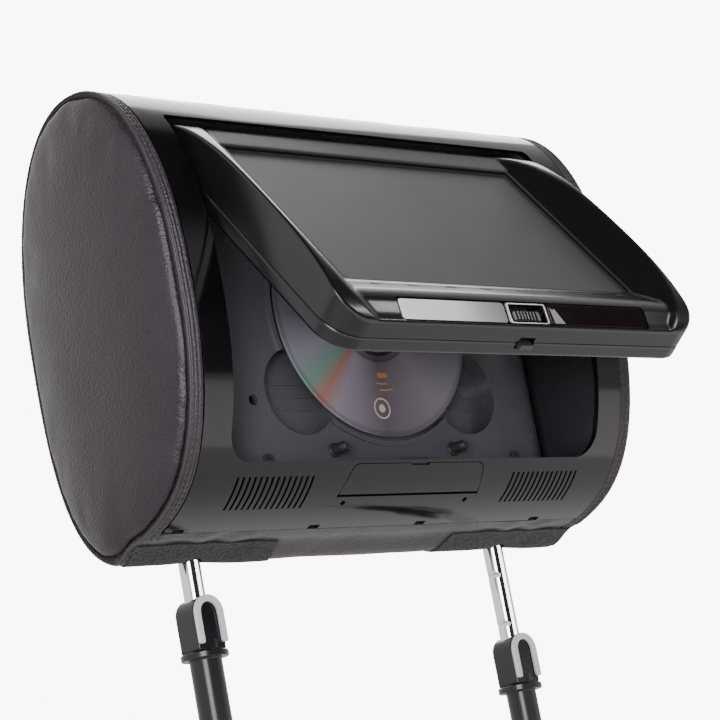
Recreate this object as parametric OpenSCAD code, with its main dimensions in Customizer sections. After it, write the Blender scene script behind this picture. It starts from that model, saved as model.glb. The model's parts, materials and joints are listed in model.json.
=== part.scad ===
// Car headrest with a built-in disc player and a screen that flips up.
// Every part is drawn in the player's own axes: the origin is the middle of the
// disc, X runs to the right, Y runs into the headrest and Z runs up.
// at_player() then lifts it to the finished frame, whose origin is midway
// between the tips of the two posts.

/* [Headrest] */
// Width between the two side seams
head_w = 283; // [276:1:290]
// Depth of the padded oval, front to back
head_d = 114; // [110:1:118]
// How far each side cushion bulges past its seam
side_bulge = 9; // [6:1:12]
// Thickness of the leatherette and its backing
skin_t = 2.5; // [2:0.5:3]

/* [Posts] */
// Diameter of a post
post_d = 10; // [10:1:12]
// Distance between the posts' centre lines
post_gap = 197; // [190:1:200]
// Length of post that shows below the padding
post_free = 147; // [140:5:170]
// How high the left guide sleeve sits above the post tip
sleeve_left_z = 61; // [40:1:75]
// How high the right guide sleeve sits above the post tip
sleeve_right_z = 32; // [28:1:60]

/* [Fascia] */
// Width of the plastic front
fascia_w = 268; // [262:1:270]
// Wall of the plastic front
fascia_t = 2.8; // [2.4:0.2:3]
// Width of the screen bay's mouth
bay_w = 236; // [234:1:238]
// Number of slots in each loudspeaker grille
vent_count = 14; // [8:1:16]

/* [Screen] */
// Width of the screen unit
screen_w = 229; // [226:1:230]
// Height of the screen unit
screen_h = 151; // [148:1:152]
// Angle by which the screen stands open
screen_open = 37; // [30:1:45]
// Width of the visible display
display_w = 184; // [178:1:188]
// Height of the visible display
display_h = 104.5; // [98:0.5:106]

/* [Disc] */
// Outer diameter of the disc
disc_d = 120; // [118:1:120]
// Thickness of the disc
disc_t = 1.2; // [1.1:0.1:1.3]

/* [Hidden] */
$fn = 64;
gap = 0.3;                       // clearance between neighbours that only lie side by side
fit = 0.05;                      // radial clearance of every shaft in its hole

// the oval side profile, seen along X
oval_y = 23;                     // centre of the oval
oval_z = 3;
half_d = head_d / 2;
half_top = 104.2;                // half heights and corner fullness of the four quarters
half_low = 99;
low_sag = 4.4;
belly = 8.5;                     // the padding hangs lower behind the plastic front
seam_x = head_w / 2;
bay_x = bay_w / 2;
bay_top = 87.6;
bay_low = -75;
trim_top_y = 5;                  // where the plastic front gives way to leatherette
trim_low_y = 17;

// frame of the finished part
deck_y = -45;
deck_z = post_free + 103;
post_x = post_gap / 2;
post_r = post_d / 2;
tip_h = 25;                      // length of the thinner end of each post
tip_step = 0.2;                  // its radius is this much smaller
post_top = 210;

// player deck
deck_face = 0.5;
pocket_r = 62;
scoop_x = 53;
scoop_z = -37.5;
scoop_r = 21;
scoop_y = 9.5;
roll_x = 92;                     // where the deck starts to roll back into the side pockets
roll_r = 20;
tub_x = 117.5;
tub_t = 2.5;
tub_back = 25;
screen_sweep = 12.5;             // what the screen's back edge sweeps about the hinge
deck_screw_z = [-70, 84];
pin_x = 38.5;
pin_z = -66;
hub_r = 7.5 - fit * 2;
disc_face = -disc_t / 2;

// disc drive
frame_y = 14;
frame_t = 1.2;
rod_y = 18.5;
rod_z = 16;
rod_r = 1.5;
screw_z = -6;
screw_y = 19.6;
sled_x = 24;
screw_pitch = 3;

// screen, drawn shut: s runs down from its top edge, t runs forward from its back
screen_back_y = -1.5;
screen_top_z = 80.5;
shell_t = 8;
hinge_s = 9;
hinge_t = 8;
hinge_y = screen_back_y - hinge_t;
hinge_z = screen_top_z - hinge_s;
hinge_r = 2.5;
screen_x = screen_w / 2;
display_t = 17;
display_s = 16.5;
bar_t = 21.8;                    // crest of the lower bar
bar_slope = 28;
strip_s = 144;                   // middle of the control strip on the bar's lower slope
strip_t = 18.6;
strip_h = 11;
strip_x = 79.5;
latch_w = 27;

// sloping lower front
door_y = -9.2;                   // middle of the flap on the slope
door_z = -82.9;
door_tilt = 45;
door_half = 8.7;                 // half the flap's height along the slope
door_barrel = 1.7;               // the flap's hinge barrel lies this far above its foot
door_axis_y = -3.3;
door_axis_z = -86.9;
grille_x = 87;
grille_y = -5.2;
grille_z = -87.2;
grille_tilt = 51;
grille_pitch = 3.4;
slot_x = 39.5;

// ---- helpers ----------------------------------------------------------------

module at_player() translate([0, deck_y, deck_z]) children();

// the screen's own frame (X, s, t) turned to where it lies when shut
module shut() translate([0, screen_back_y, screen_top_z])
    rotate([90, 0, 0]) mirror([0, 1, 0]) children();

// the screen swung open about its hinge
module open() at_player() translate([0, hinge_y, hinge_z]) rotate([-screen_open, 0, 0])
    translate([0, -hinge_y, -hinge_z]) shut() children();

function corner(c, n) = sign(c) * pow(abs(c), 2 / n);
function low_half(c) = c < 0 ? half_low + low_sag * pow(1 + c, 5)
    : half_low + low_sag + belly * pow(min(c / 0.25, 1), 2) * (3 - 2 * min(c / 0.25, 1));
function oval_point(a, grow) = let(c = cos(a), s = sin(a),
    n = s >= 0 ? (c < 0 ? 2.2 : 2.1) : (c < 0 ? 2.3 : 2.8),
    h = s >= 0 ? half_top : low_half(c))
    [oval_y + (half_d + grow) * corner(c, n), oval_z + (h + grow) * corner(s, n)];

module oval(grow) polygon([for (a = [0:4:356]) oval_point(a, grow)]);

// an outline in Y and Z drawn out along X, from -x to x
module along_x(x) rotate([90, 0, 90]) translate([0, 0, -x]) linear_extrude(2 * x) children();

module slab(x0, x1, y0, y1, z0, z1) translate([x0, y0, z0]) cube([x1 - x0, y1 - y0, z1 - z0]);

// a plate with rounded corners, drawn in X and Y
module rounded(w, h, r) {
    square([w - 2 * r, h], center = true);
    square([w, h - 2 * r], center = true);
    for (x = [-1, 1], y = [-1, 1]) translate([x * (w / 2 - r), y * (h / 2 - r)]) circle(r);
}

// a cylinder along Y from y0 to y1
module rod_along_y(x, z, r, y0, y1) translate([x, y1, z]) rotate([90, 0, 0]) cylinder(r = r, h = y1 - y0);

// a cylinder along X from x0 to x1
module rod_along_x(y, z, r, x0, x1) translate([x0, y, z]) rotate([0, 90, 0]) cylinder(r = r, h = x1 - x0);

// a screw whose head faces down the local Z axis
module screw(r, head_r, length) {
    cylinder(r = r, h = length);
    translate([0, 0, -1.5]) difference() {
        cylinder(r = head_r, h = 1.5);
        for (a = [0, 90]) rotate(a) translate([-head_r * 0.6, -0.4, -1]) cube([head_r * 1.2, 0.8, 1.8]);
    }
}

module front_zone(grow) polygon([[-60, -140], [trim_low_y + grow, -140], [trim_low_y + grow, -50],
    [trim_top_y + grow, 50], [trim_top_y + grow, 140], [-60, 140]]);

// ---- posts and their sleeves --------------------------------------------------

// the lowest end is a little thinner, so it starts easily in the seat's guide
module post(x, notched) difference() {
    translate([x, 0, 0]) union() {
        cylinder(r = post_r - tip_step, h = tip_h + 1);
        translate([0, 0, tip_h]) cylinder(r = post_r, h = post_top - tip_h);
    }
    if (notched) for (z = [53:25:130]) translate([x - post_r - 1, 0, z]) rotate([90, 0, 0])
        translate([0, 0, -post_r]) linear_extrude(post_d) polygon([[0, 0], [2.6, 0], [2.6, 1.6], [0, 4]]);
}

module sleeve(x, z) color("black") translate([x, 0, z]) difference() {
    union() {
        cylinder(r = 7.5, h = 44);
        translate([0, 0, 38]) cylinder(r = 11, h = 3);
        translate([0, 7, 58]) rotate([90, 0, 0]) linear_extrude(14) {
            circle(8);
            translate([-8, -17]) square([16, 17]);
        }
    }
    translate([0, 0, -1]) cylinder(r = post_r + fit, h = 70);
    translate([-3, 3, -1]) cube([6, 8, 26]);
}

module clip(x, z) color("gainsboro") translate([x, -7, z + 58]) rotate([90, 0, 0]) linear_extrude(2)
    difference() {
        union() { circle(8.2); translate([-8.2, -14]) square([16.4, 14]); }
        circle(5);
        translate([-5, -15]) square([10, 15]);
    }

module post_left() color("silver") post(-post_x, false);
module post_right() color("silver") post(post_x, true);
module guide_sleeve_left() sleeve(-post_x, sleeve_left_z);
module guide_clip_left() clip(-post_x, sleeve_left_z);
module guide_sleeve_right() sleeve(post_x, sleeve_right_z);
module guide_clip_right() clip(post_x, sleeve_right_z);

module post_rail() color("dimgray") at_player() difference() {
    slab(-122, 122, 56, 59, -80, -50);
    for (x = [-1, 1], z = [-74, -56]) rod_along_y(x * (post_x - 10), z, 2.1, 50, 65);
    for (x = [-40, 0, 40]) rod_along_y(x, -65, 8, 50, 65);
}

module post_clamp(side) color("dimgray") at_player() difference() {
    slab(side * post_x - 14, side * post_x + 14, 37, 56, -80, -50);
    translate([side * post_x, 45, -85]) cylinder(r = post_r, h = 40);
    for (z = [-74, -56]) rod_along_y(side * (post_x - 10), z, 2.1, 40, 60);
}

module post_clamp_left() post_clamp(-1);
module post_clamp_right() post_clamp(1);

module clamp_screws() color("gray") at_player()
    for (side = [-1, 1], z = [-74, -56]) translate([side * (post_x - 10), 59, z])
        rotate([90, 0, 0]) screw(2, 3.6, 16);

// ---- padding and skin -----------------------------------------------------------

module foam_core() color("khaki") at_player() difference() {
    along_x(seam_x - 3) oval(-skin_t - gap);
    slab(-124, 124, -60, 28.5, -79, 92);
    slab(-136, 136, -60, trim_low_y + 3, -110, -70);
    along_x(fascia_w / 2 + 1) difference() {
        front_zone(1);
        oval(-fascia_t - 1);
    }
    slab(-126, 126, 36, 64, -83, -34);
    for (side = [-1, 1]) translate([side * post_x, 45, -115]) cylinder(r = post_r + 2, h = 60);
}

module cover_wrap() color("#4a4550") at_player() difference() {
    along_x(seam_x) difference() { oval(0); oval(-skin_t); }
    along_x(fascia_w / 2 + gap) front_zone(gap);
    for (side = [-1, 1]) translate([side * post_x, 45, -115]) cylinder(r = post_r + 1, h = 40);
}

module side_panel(side) color("#4a4550") at_player() hull() {
    for (step = [[0, 0], [0.5, 4], [0.85, 13], [1, 30]])
        translate([side * (seam_x + gap + side_bulge * step[0]), 0, 0])
            rotate([90, 0, 90]) linear_extrude(0.05) oval(-1 - step[1]);
}

module side_panel_left() side_panel(-1);
module side_panel_right() side_panel(1);

module base_patches() color("#3a363c") at_player() for (side = [-1, 1]) difference() {
    intersection() {
        slab(side * 95 - 42, side * 95 + 42, 28, 62, -115, -60);
        along_x(seam_x) difference() { oval(1.4); oval(0.05); }
    }
    translate([side * post_x, 45, -110]) cylinder(r = post_r + 1, h = 20);
}

// ---- plastic front and the bay behind it ------------------------------------------

module at_door() translate([0, door_y, door_z]) rotate([door_tilt, 0, 0]) children();

// the flap's outline through the wall, wider at its foot, which lies foot above its lower end
module door_cut(grow, foot) at_door() rotate([90, 0, 0]) translate([0, 0, -9]) linear_extrude(14)
    polygon([[-45.5 - grow, foot - door_half], [45.5 + grow, foot - door_half], [42.5 + grow, 4.4 + grow],
        [38 + grow, door_half + grow], [-38 - grow, door_half + grow], [-42.5 - grow, 4.4 + grow]]);

module wall_shell(thick) along_x(fascia_w / 2) intersection() {
    difference() { oval(0); oval(-thick); }
    front_zone(0);
}

module bay_mouth() translate([0, -10, (bay_top + bay_low) / 2]) rotate([90, 0, 0])
    linear_extrude(60) union() {
        rounded(bay_w, bay_top - bay_low, 12);
        translate([-bay_x, 0]) square([bay_w, (bay_top - bay_low) / 2]);
    }

module fascia() color("#1d1d20") at_player() difference() {
    wall_shell(fascia_t);
    bay_mouth();
    door_cut(gap, 0);
    for (side = [-1, 1], i = [0:vent_count - 1])
        translate([side * grille_x + (i - (vent_count - 1) / 2) * grille_pitch, grille_y, grille_z])
            rotate([grille_tilt, 0, 0]) cube([1.3, 12, 18], center = true);
    for (side = [-1, 1]) translate([side * slot_x, 0.3, -90.9]) rotate([grille_tilt, 0, 0])
        cube([2.6, 10, 2.4], center = true);
    rod_along_x(door_axis_y, door_axis_z, 0.8 + fit, -50, 50);
}

module bay_tub() color("#26262a") at_player() difference() {
    intersection() {
        slab(-tub_x - tub_t - 4, tub_x + tub_t + 4, -45, tub_back + tub_t, bay_low - tub_t, bay_top + tub_t);
        along_x(130) oval(-fascia_t - gap);
        union() {
            slab(-tub_x - tub_t, tub_x + tub_t, -45, tub_back + tub_t, -100, 100);
            for (side = [-1, 1]) rod_along_x(hinge_y, hinge_z, 7, min(side * tub_x, side * (tub_x + 6)),
                max(side * tub_x, side * (tub_x + 6)));
        }
    }
    slab(-tub_x, tub_x, -50, tub_back, bay_low, bay_top);
    rod_along_x(hinge_y, hinge_z, hinge_r + fit, -130, 130);
}

module deck_plate() color("#2b2b30") at_player() difference() {
    union() {
        slab(-roll_x, roll_x, deck_face, deck_face + 2.5, bay_low + gap, bay_top - gap);
        for (side = [-1, 1]) translate([side * roll_x, deck_face + roll_r, bay_low + gap])
            intersection() {
                difference() {
                    cylinder(r = roll_r, h = bay_top - bay_low - 2 * gap);
                    translate([0, 0, -1]) cylinder(r = roll_r - 2.5, h = 200);
                }
                translate([side > 0 ? 0 : -roll_r, -roll_r, 0]) cube([roll_r, roll_r, 200]);
            }
        rod_along_y(0, 0, pocket_r + 2.5, deck_face - 1.2, deck_face + 4.5);
        for (x = [-1, 1]) rod_along_y(x * scoop_x, scoop_z, scoop_r + 2, deck_face, scoop_y + 2);
        slab(-roll_x, roll_x, deck_face + 2, deck_face + 5, 65, 83);
    }
    rod_along_x(hinge_y, hinge_z, screen_sweep, -130, 130);
    rod_along_y(0, 0, pocket_r, -5, deck_face + 2.5);
    for (x = [-1, 1]) rod_along_y(x * scoop_x, scoop_z, scoop_r, -5, scoop_y);
    rod_along_y(0, 0, 17, -5, 10);
    slab(0, 58, -5, 20, -7, 7);
    for (x = [-1, 1]) rod_along_y(x * pin_x, pin_z, 1.5, -5, 10);
    rod_along_y(-82, -42, 2.6, -5, 2);
    for (x = [-80, 80], z = deck_screw_z) rod_along_y(x, z, 1.6, -5, 10);
}

module deck_screws() color("gray") at_player() for (x = [-80, 80], z = deck_screw_z)
    translate([x, deck_face, z]) rotate([-90, 0, 0]) screw(1.5, 2.8, 8);

module locating_pins() color("#101012") at_player() for (x = [-1, 1]) {
    rod_along_y(x * pin_x, pin_z, 1.45, deck_face, 8);
    rod_along_y(x * pin_x, pin_z, 3.6, deck_face - 1.2, deck_face);
    rod_along_y(x * pin_x, pin_z, 2.5, -7.6, deck_face - 1.2);
    rod_along_y(x * pin_x, pin_z, 2, -8.8, -7.6);
}

module speaker(side) color("#303030") at_player() translate([side * grille_x, grille_y, grille_z])
    rotate([grille_tilt - 90, 0, 0]) {
        translate([0, 0, 4]) linear_extrude(1.4) rounded(46, 15, 6);
        translate([0, 0, 5.4]) cylinder(r = 5, h = 2.2);
    }

module speaker_left() speaker(-1);
module speaker_right() speaker(1);

module media_board() color("darkgreen") at_player() {
    slab(-36, 36, 2, 16, -82.4, -81);
    slab(-28, -14, -1, 13, -86.6, -82.4);
    slab(-4, 24, -1, 13, -85, -82.4);
}

module main_board() color("darkgreen") at_player() {
    slab(-106, -58, 21, 22.6, -30, 70);
    slab(-104, -90, 17, 21, 0, 14);
    slab(-80, -66, 18, 21, 30, 50);
    slab(-100, -84, 16, 21, 40, 62);
}

// ---- disc drive -------------------------------------------------------------------

module drive_frame() color("silver") at_player() difference() {
    union() {
        slab(-45, 72, frame_y, frame_y + frame_t, -30, 30);
        for (x = [5, 68]) slab(x, x + 3, frame_y + frame_t, 21, -20, 20);
    }
    slab(14, 66, 0, 16, -13, 13);
    for (z = [-rod_z, rod_z]) rod_along_x(rod_y, z, rod_r, 0, 80);
    rod_along_x(screw_y, screw_z, 1.5 + fit, 0, 80);
    for (x = [-40, 67], z = [-25, 25]) rod_along_y(x, z, 2, 10, 20);
}

module spindle_motor() color("gainsboro") at_player() difference() {
    rod_along_y(0, 0, 12.5, 6, frame_y);
    rod_along_y(0, 0, 1 + fit, 5, frame_y - 1);
}

module guide_rods() color("silver") at_player()
    for (z = [-rod_z, rod_z]) rod_along_x(rod_y, z, rod_r, 4, 71.5);

module sled_motor() color("silver") at_player() difference() {
    rod_along_x(screw_y, screw_z, 4.2, -14, 4.6);
    rod_along_x(screw_y, screw_z, 1 + fit, -4, 6);
}

module drive_dampers() color("#202020") at_player() for (x = [-40, 67], z = [-25, 25])
    difference() {
        union() {
            rod_along_y(x, z, 4, frame_y + frame_t, tub_back);
            rod_along_y(x, z, 2, frame_y - 1, frame_y + frame_t);
            rod_along_y(x, z, 4, frame_y - 2, frame_y);
        }
        rod_along_y(x, z, 1, 0, 30);
    }

module spindle_hub() color("#151515") at_player() difference() {
    union() {
        rod_along_y(0, 0, 14, -disc_face, 2.6);
        rod_along_y(0, 0, hub_r, disc_face - 1, 2.6);
        rod_along_y(0, 0, hub_r - 1.2, disc_face - 1.8, disc_face - 1);
        rod_along_y(0, 0, 4, 2.6, 5);
    }
    rod_along_y(0, 0, 1, 0, 10);
}

module spindle_shaft() color("silver") at_player() rod_along_y(0, 0, 1, 0, 12);

module disc() color("lavender") at_player() difference() {
    rod_along_y(0, 0, disc_d / 2, disc_face, -disc_face);
    rod_along_y(0, 0, 7.5, -5, 5);
}

module pickup_sled() color("#303034") at_player() difference() {
    union() {
        slab(sled_x - 7, sled_x + 7, 16, 22.5, -20, 20);
        slab(sled_x - 6, sled_x + 6, 8, 16, -8, 8);
    }
    for (z = [-rod_z, rod_z]) rod_along_x(rod_y, z, rod_r + fit, 0, 80);
    rod_along_x(screw_y, screw_z, 1.8, 0, 80);
    rod_along_y(sled_x, 0, 3.2, 0, 10);
}

module pickup_lens() color("lightblue") at_player() rod_along_y(sled_x, 0, 3.2, 5.6, 10);

module lead_screw() color("silver") at_player() {
    rod_along_x(screw_y, screw_z, 1, -3, 6);
    rod_along_x(screw_y, screw_z, 1.5, 6, 71);
    for (x = [11:screw_pitch:65]) translate([x, screw_y, screw_z]) rotate([0, 90, 0])
        cylinder(r = 1.7, h = 1);
}

// ---- screen -------------------------------------------------------------------------

function rim_t(s) = 8 + 21 * pow(1 - pow(abs((s - screen_h / 2) / (screen_h / 2 + 3.5)), 2.4), 1 / 2.4);

module screen_outline() intersection() {
    translate([0, screen_h / 2]) rounded(screen_w, screen_h, 4);
    union() {
        translate([0, screen_h / 2]) rounded(screen_w, screen_h, 16);
        translate([-screen_x, 0]) square([screen_w, screen_h / 2]);
    }
}

// outline in s and t drawn out along X
module across(x) rotate([90, 0, 90]) translate([0, 0, -x]) linear_extrude(2 * x) children();

module on_strip() translate([0, strip_s, strip_t]) rotate([-bar_slope, 0, 0]) children();

// a recess in the control strip, half wide to each side and deep below its surface
module strip_recess(half, deep) on_strip() translate([-half - gap, -strip_h / 2 - gap, -deep])
    cube([2 * (half + gap), strip_h + 2 * gap, deep + 10]);

module screen_bezel() color("#222226") open() difference() {
    intersection() {
        union() {
            difference() {
                across(screen_x) polygon(concat([[0, shell_t], [0, rim_t(0)]],
                    [for (s = [2:3:149]) [s, rim_t(s)]], [[screen_h, rim_t(screen_h)], [screen_h, shell_t]]));
                translate([0, -1, 0]) rotate([-90, 0, 0]) mirror([0, 1, 0]) linear_extrude(screen_h + 2)
                    polygon([[-display_w / 2 - 2, display_t], [display_w / 2 + 2, display_t],
                        [screen_x - 2, 29.5], [screen_x - 2, 45], [2 - screen_x, 45], [2 - screen_x, 29.5]]);
            }
            across(screen_x - 3) polygon([[display_s + display_h, shell_t],
                [display_s + display_h, display_t],
                [127, 19.4], [133, 21.4], [137, bar_t], [141, 21], [149.5, 16.4], [screen_h, 14.5],
                [screen_h, shell_t]]);
            across(screen_x - 3) polygon([[0, shell_t], [0, 16], [1.5, display_t + 0.8],
                [display_s, display_t + 0.8], [display_s, shell_t]]);
        }
        translate([0, 0, -1]) linear_extrude(40) screen_outline();
    }
    translate([-display_w / 2, display_s, 0]) cube([display_w, display_h, 40]);
    translate([-101, 12, shell_t - 1]) cube([202, 113, 6.2]);
    strip_recess(strip_x, 1.8);
    strip_recess(latch_w / 2, 6);
    translate([-5, 137, shell_t - 1]) cube([10, 20, 3.4]);
    translate([-3.4, 137, shell_t]) cube([6.8, 9, 7]);
    for (x = [-1, 1]) translate([x * 102, hinge_s, hinge_t]) rotate([0, 90, 0])
        cylinder(r = hinge_r, h = 30, center = true);
    for (x = [-104, 104], s = [26, 138]) translate([x, s, 0]) cylinder(r = 1.2, h = 13);
    key_bars(0.05);
}

module screen_back() color("#26262a") open() difference() {
    union() {
        translate([0, 0, 2]) linear_extrude(shell_t - 2) screen_outline();
        translate([0, screen_h / 2, 0]) linear_extrude(2) rounded(screen_w - 5, screen_h - 5, 14);
    }
    translate([0, screen_top_z, -1]) cylinder(r = pocket_r + 5, h = 5.5);
    translate([-101, 12, 6]) cube([202, 113, 5]);
    for (x = [-1, 1]) translate([x * pin_x, screen_top_z - pin_z, -1]) cylinder(r = 3.6, h = 8.7);
    for (x = [-1, 1]) translate([x * 102, hinge_s, hinge_t]) rotate([0, 90, 0])
        cylinder(r = hinge_r, h = 30, center = true);
    for (x = [-104, 104], s = [26, 138]) {
        translate([x, s, -1]) cylinder(r = 1.3, h = 13);
        translate([x, s, -1]) cylinder(r = 2.9, h = 3);
    }
    translate([-6, 137, 4.4]) cube([12, 20, 10]);
}

module lcd_module() color("#606060") open() translate([-100, 13, 9])
    cube([200, 111, 4]);

module screen_glass() color("#77736d") open() translate([-display_w / 2, display_s, 13.4])
    cube([display_w, display_h, 2.4]);

module display_board() color("darkgreen") open() translate([-90, 20, 6.4]) cube([180, 90, 1.6]);

module hinge_pin(side) color("gray") open() translate([side * 104.5, hinge_s, hinge_t])
    rotate([0, 90, 0]) difference() {
        cylinder(r = hinge_r, h = 35, center = true);
        cylinder(r = 1.5 + fit, h = 50, center = true);
    }

module hinge_pin_left() hinge_pin(-1);
module hinge_pin_right() hinge_pin(1);

module hinge_cable() color("#101010") at_player() {
    rod_along_x(hinge_y, hinge_z, 1.5, 90, 123);
}

module screen_screws() color("gray") open() for (x = [-104, 104], s = [26, 138])
    translate([x, s, 2]) screw(1.15, 2.7, 10);

module key_bars(grow) for (i = [0:7])
    translate([-79 + 22.57 * i - 2.5 - grow, 125.6 - grow, 17.2 - grow])
        cube([5 + 2 * grow, 1.4 + 2 * grow, 1.9 + 2 * grow]);

module key_marks() color("#2a1512") open() key_bars(0);

// a trim piece lying in the strip's recess, from x0 to x1
module strip_piece(x0, x1) on_strip() translate([(x0 + x1) / 2, 0, -1.8]) linear_extrude(1.9)
    rounded(x1 - x0, strip_h, 2);

module gloss_strip() color("#3a3a40") open() strip_piece(-strip_x, -latch_w / 2 - 0.5);
module ir_window() color("#160c0c") open() strip_piece(latch_w / 2 + 0.5, strip_x);

module latch_frame() color("#2c2c30") open() on_strip() translate([0, 0, -5.5]) difference() {
    linear_extrude(6) rounded(latch_w, strip_h, 1);
    translate([-latch_w / 2 + 2.5, -strip_h / 2 + 2, 1]) cube([latch_w - 5, strip_h - 3.5, 10]);
    translate([-3, -4.4, -1]) cube([6, 8.6, 3]);
}

module latch_button() color("#1a1a1a") open() on_strip() translate([0, 0, -4.3]) {
    translate([-9, -strip_h / 2 + 3.8, 0]) cube([18, 5, 4]);
    for (i = [-3:3]) translate([i * 2.2 - 0.4, -strip_h / 2 + 4.3, 4]) cube([0.8, 4, 0.5]);
    translate([-2, 1, -2.7]) cube([4, 2.2, 2.7]);
}

module latch_hook() color("silver") open() {
    translate([-4, 139, shell_t - 3]) cube([8, screen_h - 137.2, 2.4]);
    translate([-2, 140.4, shell_t - 0.6]) cube([4, 2.6, 3]);
}

module latch_striker() color("gray") at_player() slab(-8, 8, -12.2, -10.4, bay_low, -72.9);

// ---- card flap ------------------------------------------------------------------------

module card_door() color("#1d1d20") at_player() difference() {
    union() {
        intersection() {
            wall_shell(2.4);
            door_cut(-0.15, door_barrel - 0.4);
            cube([89.6, 300, 300], center = true);
        }
        rod_along_x(door_axis_y, door_axis_z, 1.2, -45, 45);
    }
    at_door() translate([-6, -4, door_half - 1]) cube([12, 5.2, 3]);
    rod_along_x(door_axis_y, door_axis_z, 0.8, -60, 60);
}

module card_door_pins() color("gray") at_player() for (side = [-1, 1])
    rod_along_x(door_axis_y, door_axis_z, 0.8, side > 0 ? 34 : -49, side > 0 ? 49 : -34);

// ---- every piece -----------------------------------------------------------------------

post_left();
post_right();
post_rail();
post_clamp_left();
post_clamp_right();
clamp_screws();
foam_core();
cover_wrap();
side_panel_left();
side_panel_right();
base_patches();
fascia();
bay_tub();
deck_plate();
deck_screws();
locating_pins();
speaker_left();
speaker_right();
media_board();
main_board();
drive_frame();
spindle_motor();
guide_rods();
sled_motor();
drive_dampers();
latch_striker();
hinge_cable();
screen_bezel();
screen_back();
lcd_module();
screen_glass();
display_board();
hinge_pin_left();
hinge_pin_right();
screen_screws();
key_marks();
gloss_strip();
ir_window();
latch_frame();
latch_button();
latch_hook();
card_door();
card_door_pins();
spindle_hub();
spindle_shaft();
disc();
pickup_sled();
pickup_lens();
lead_screw();
guide_sleeve_left();
guide_clip_left();
guide_sleeve_right();
guide_clip_right();
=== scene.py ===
# %% [markdown]
# # A headrest with a disc player
# This file dresses a finished mechanical model of a car headrest that has a disc player in
# its front. The mechanical parts are loaded as a fixed frame. Each visible part is then
# remodelled round that frame with smooth curves, rounded edges and a proper finish.

# %% Load the frame
import json
import math

import bpy
from mathutils import Matrix, Vector, noise


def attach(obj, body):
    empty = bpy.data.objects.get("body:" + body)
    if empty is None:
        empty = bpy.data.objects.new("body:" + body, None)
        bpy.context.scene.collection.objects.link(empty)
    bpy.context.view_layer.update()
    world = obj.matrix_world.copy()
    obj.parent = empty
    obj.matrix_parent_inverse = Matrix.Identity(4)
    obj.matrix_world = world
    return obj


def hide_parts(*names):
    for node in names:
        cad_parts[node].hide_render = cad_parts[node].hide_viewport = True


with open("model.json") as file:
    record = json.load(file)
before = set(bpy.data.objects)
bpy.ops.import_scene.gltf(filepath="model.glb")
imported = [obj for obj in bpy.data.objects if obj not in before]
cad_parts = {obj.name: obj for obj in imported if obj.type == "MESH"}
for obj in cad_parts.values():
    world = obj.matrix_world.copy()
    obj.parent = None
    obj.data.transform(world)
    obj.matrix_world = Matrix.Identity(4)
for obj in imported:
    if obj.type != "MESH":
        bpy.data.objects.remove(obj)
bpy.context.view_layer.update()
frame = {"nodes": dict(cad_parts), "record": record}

# %% [markdown]
# ## Frames of reference
# The headrest is easiest to think about from the middle of its disc, in millimetres: X to the
# right, Y into the padding and Z up. Work on the deck is drawn facing the viewer, and work on
# the swung-out screen is drawn as if the screen lay flat. Each frame is one matrix, and a
# finished mesh is passed through it, so that every object can stay at the origin.

# %% Frames
MM = 0.001
HINGE = Vector((0, -9.5, 71.5)) * MM  # the screen's hinge line
SCREEN_OPEN = math.radians(-37)
BAR_SLOPE = math.radians(28)


def turn_x(angle):
    return Matrix.Rotation(angle, 4, "X")


def shift(x, y, z):
    return Matrix.Translation(Vector((x, y, z)) * MM)


PLAYER = shift(0, -45, 250)  # X right, Y into the padding, Z up
FACE = PLAYER @ turn_x(math.pi / 2)  # X right, Y up, Z towards the viewer
SIDE = PLAYER @ Matrix(((0, 0, 1, 0), (1, 0, 0, 0), (0, 1, 0, 0), (0, 0, 0, 1)))  # Y, Z and then X
SCREEN = (PLAYER @ Matrix.Translation(HINGE) @ turn_x(SCREEN_OPEN) @ Matrix.Translation(-HINGE)
          @ shift(0, -1.5, 80.5) @ turn_x(math.pi / 2))  # X right, Y up from the top edge, Z forward
STRIP = SCREEN @ shift(0, -144, 18.6) @ turn_x(BAR_SLOPE)  # on the sloping control strip
DOOR = PLAYER @ shift(0, -9.2, -82.9) @ turn_x(math.radians(45)) @ turn_x(math.pi / 2)
ROW = Matrix.Identity(4)  # the headrest's own frame, from the tips of its posts
print("the screen's top edge lies at", [round(v, 4) for v in SCREEN.translation])

# %% [markdown]
# ## Camera and light
# The headrest is seen from below and from its left, against white. The light is what makes
# black plastic readable: a bright surround behind, above and below, and a darker side where
# the viewer stands, so that each rounded edge draws one clean line.

# %% Camera
camera_data = bpy.data.cameras.new("camera")
camera_data.lens = 127.15
camera_data.sensor_width = 36
camera_data.clip_end = 20
camera = bpy.data.objects.new("camera", camera_data)
bpy.context.scene.collection.objects.link(camera)
right = Vector((0.7351, -0.6530, -0.1819))
up = Vector((-0.0161, -0.2851, 0.9583))
forward = Vector((0.6777, 0.7016, 0.2202))
camera.matrix_world = Matrix.Translation((-0.8260, -0.8879, -0.0366)) @ Matrix(
    (right, up, -forward)).transposed().to_4x4()
bpy.context.scene.camera = camera

# %% Surround
world = bpy.data.worlds.new("studio")
bpy.context.scene.world = world
world.use_nodes = True
tree = world.node_tree
tree.nodes.clear()


def world_node(kind, **values):
    made = tree.nodes.new(kind)
    for key, value in values.items():
        if key in made.inputs:
            made.inputs[key].default_value = value
        else:
            setattr(made, key, value)
    return made


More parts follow.
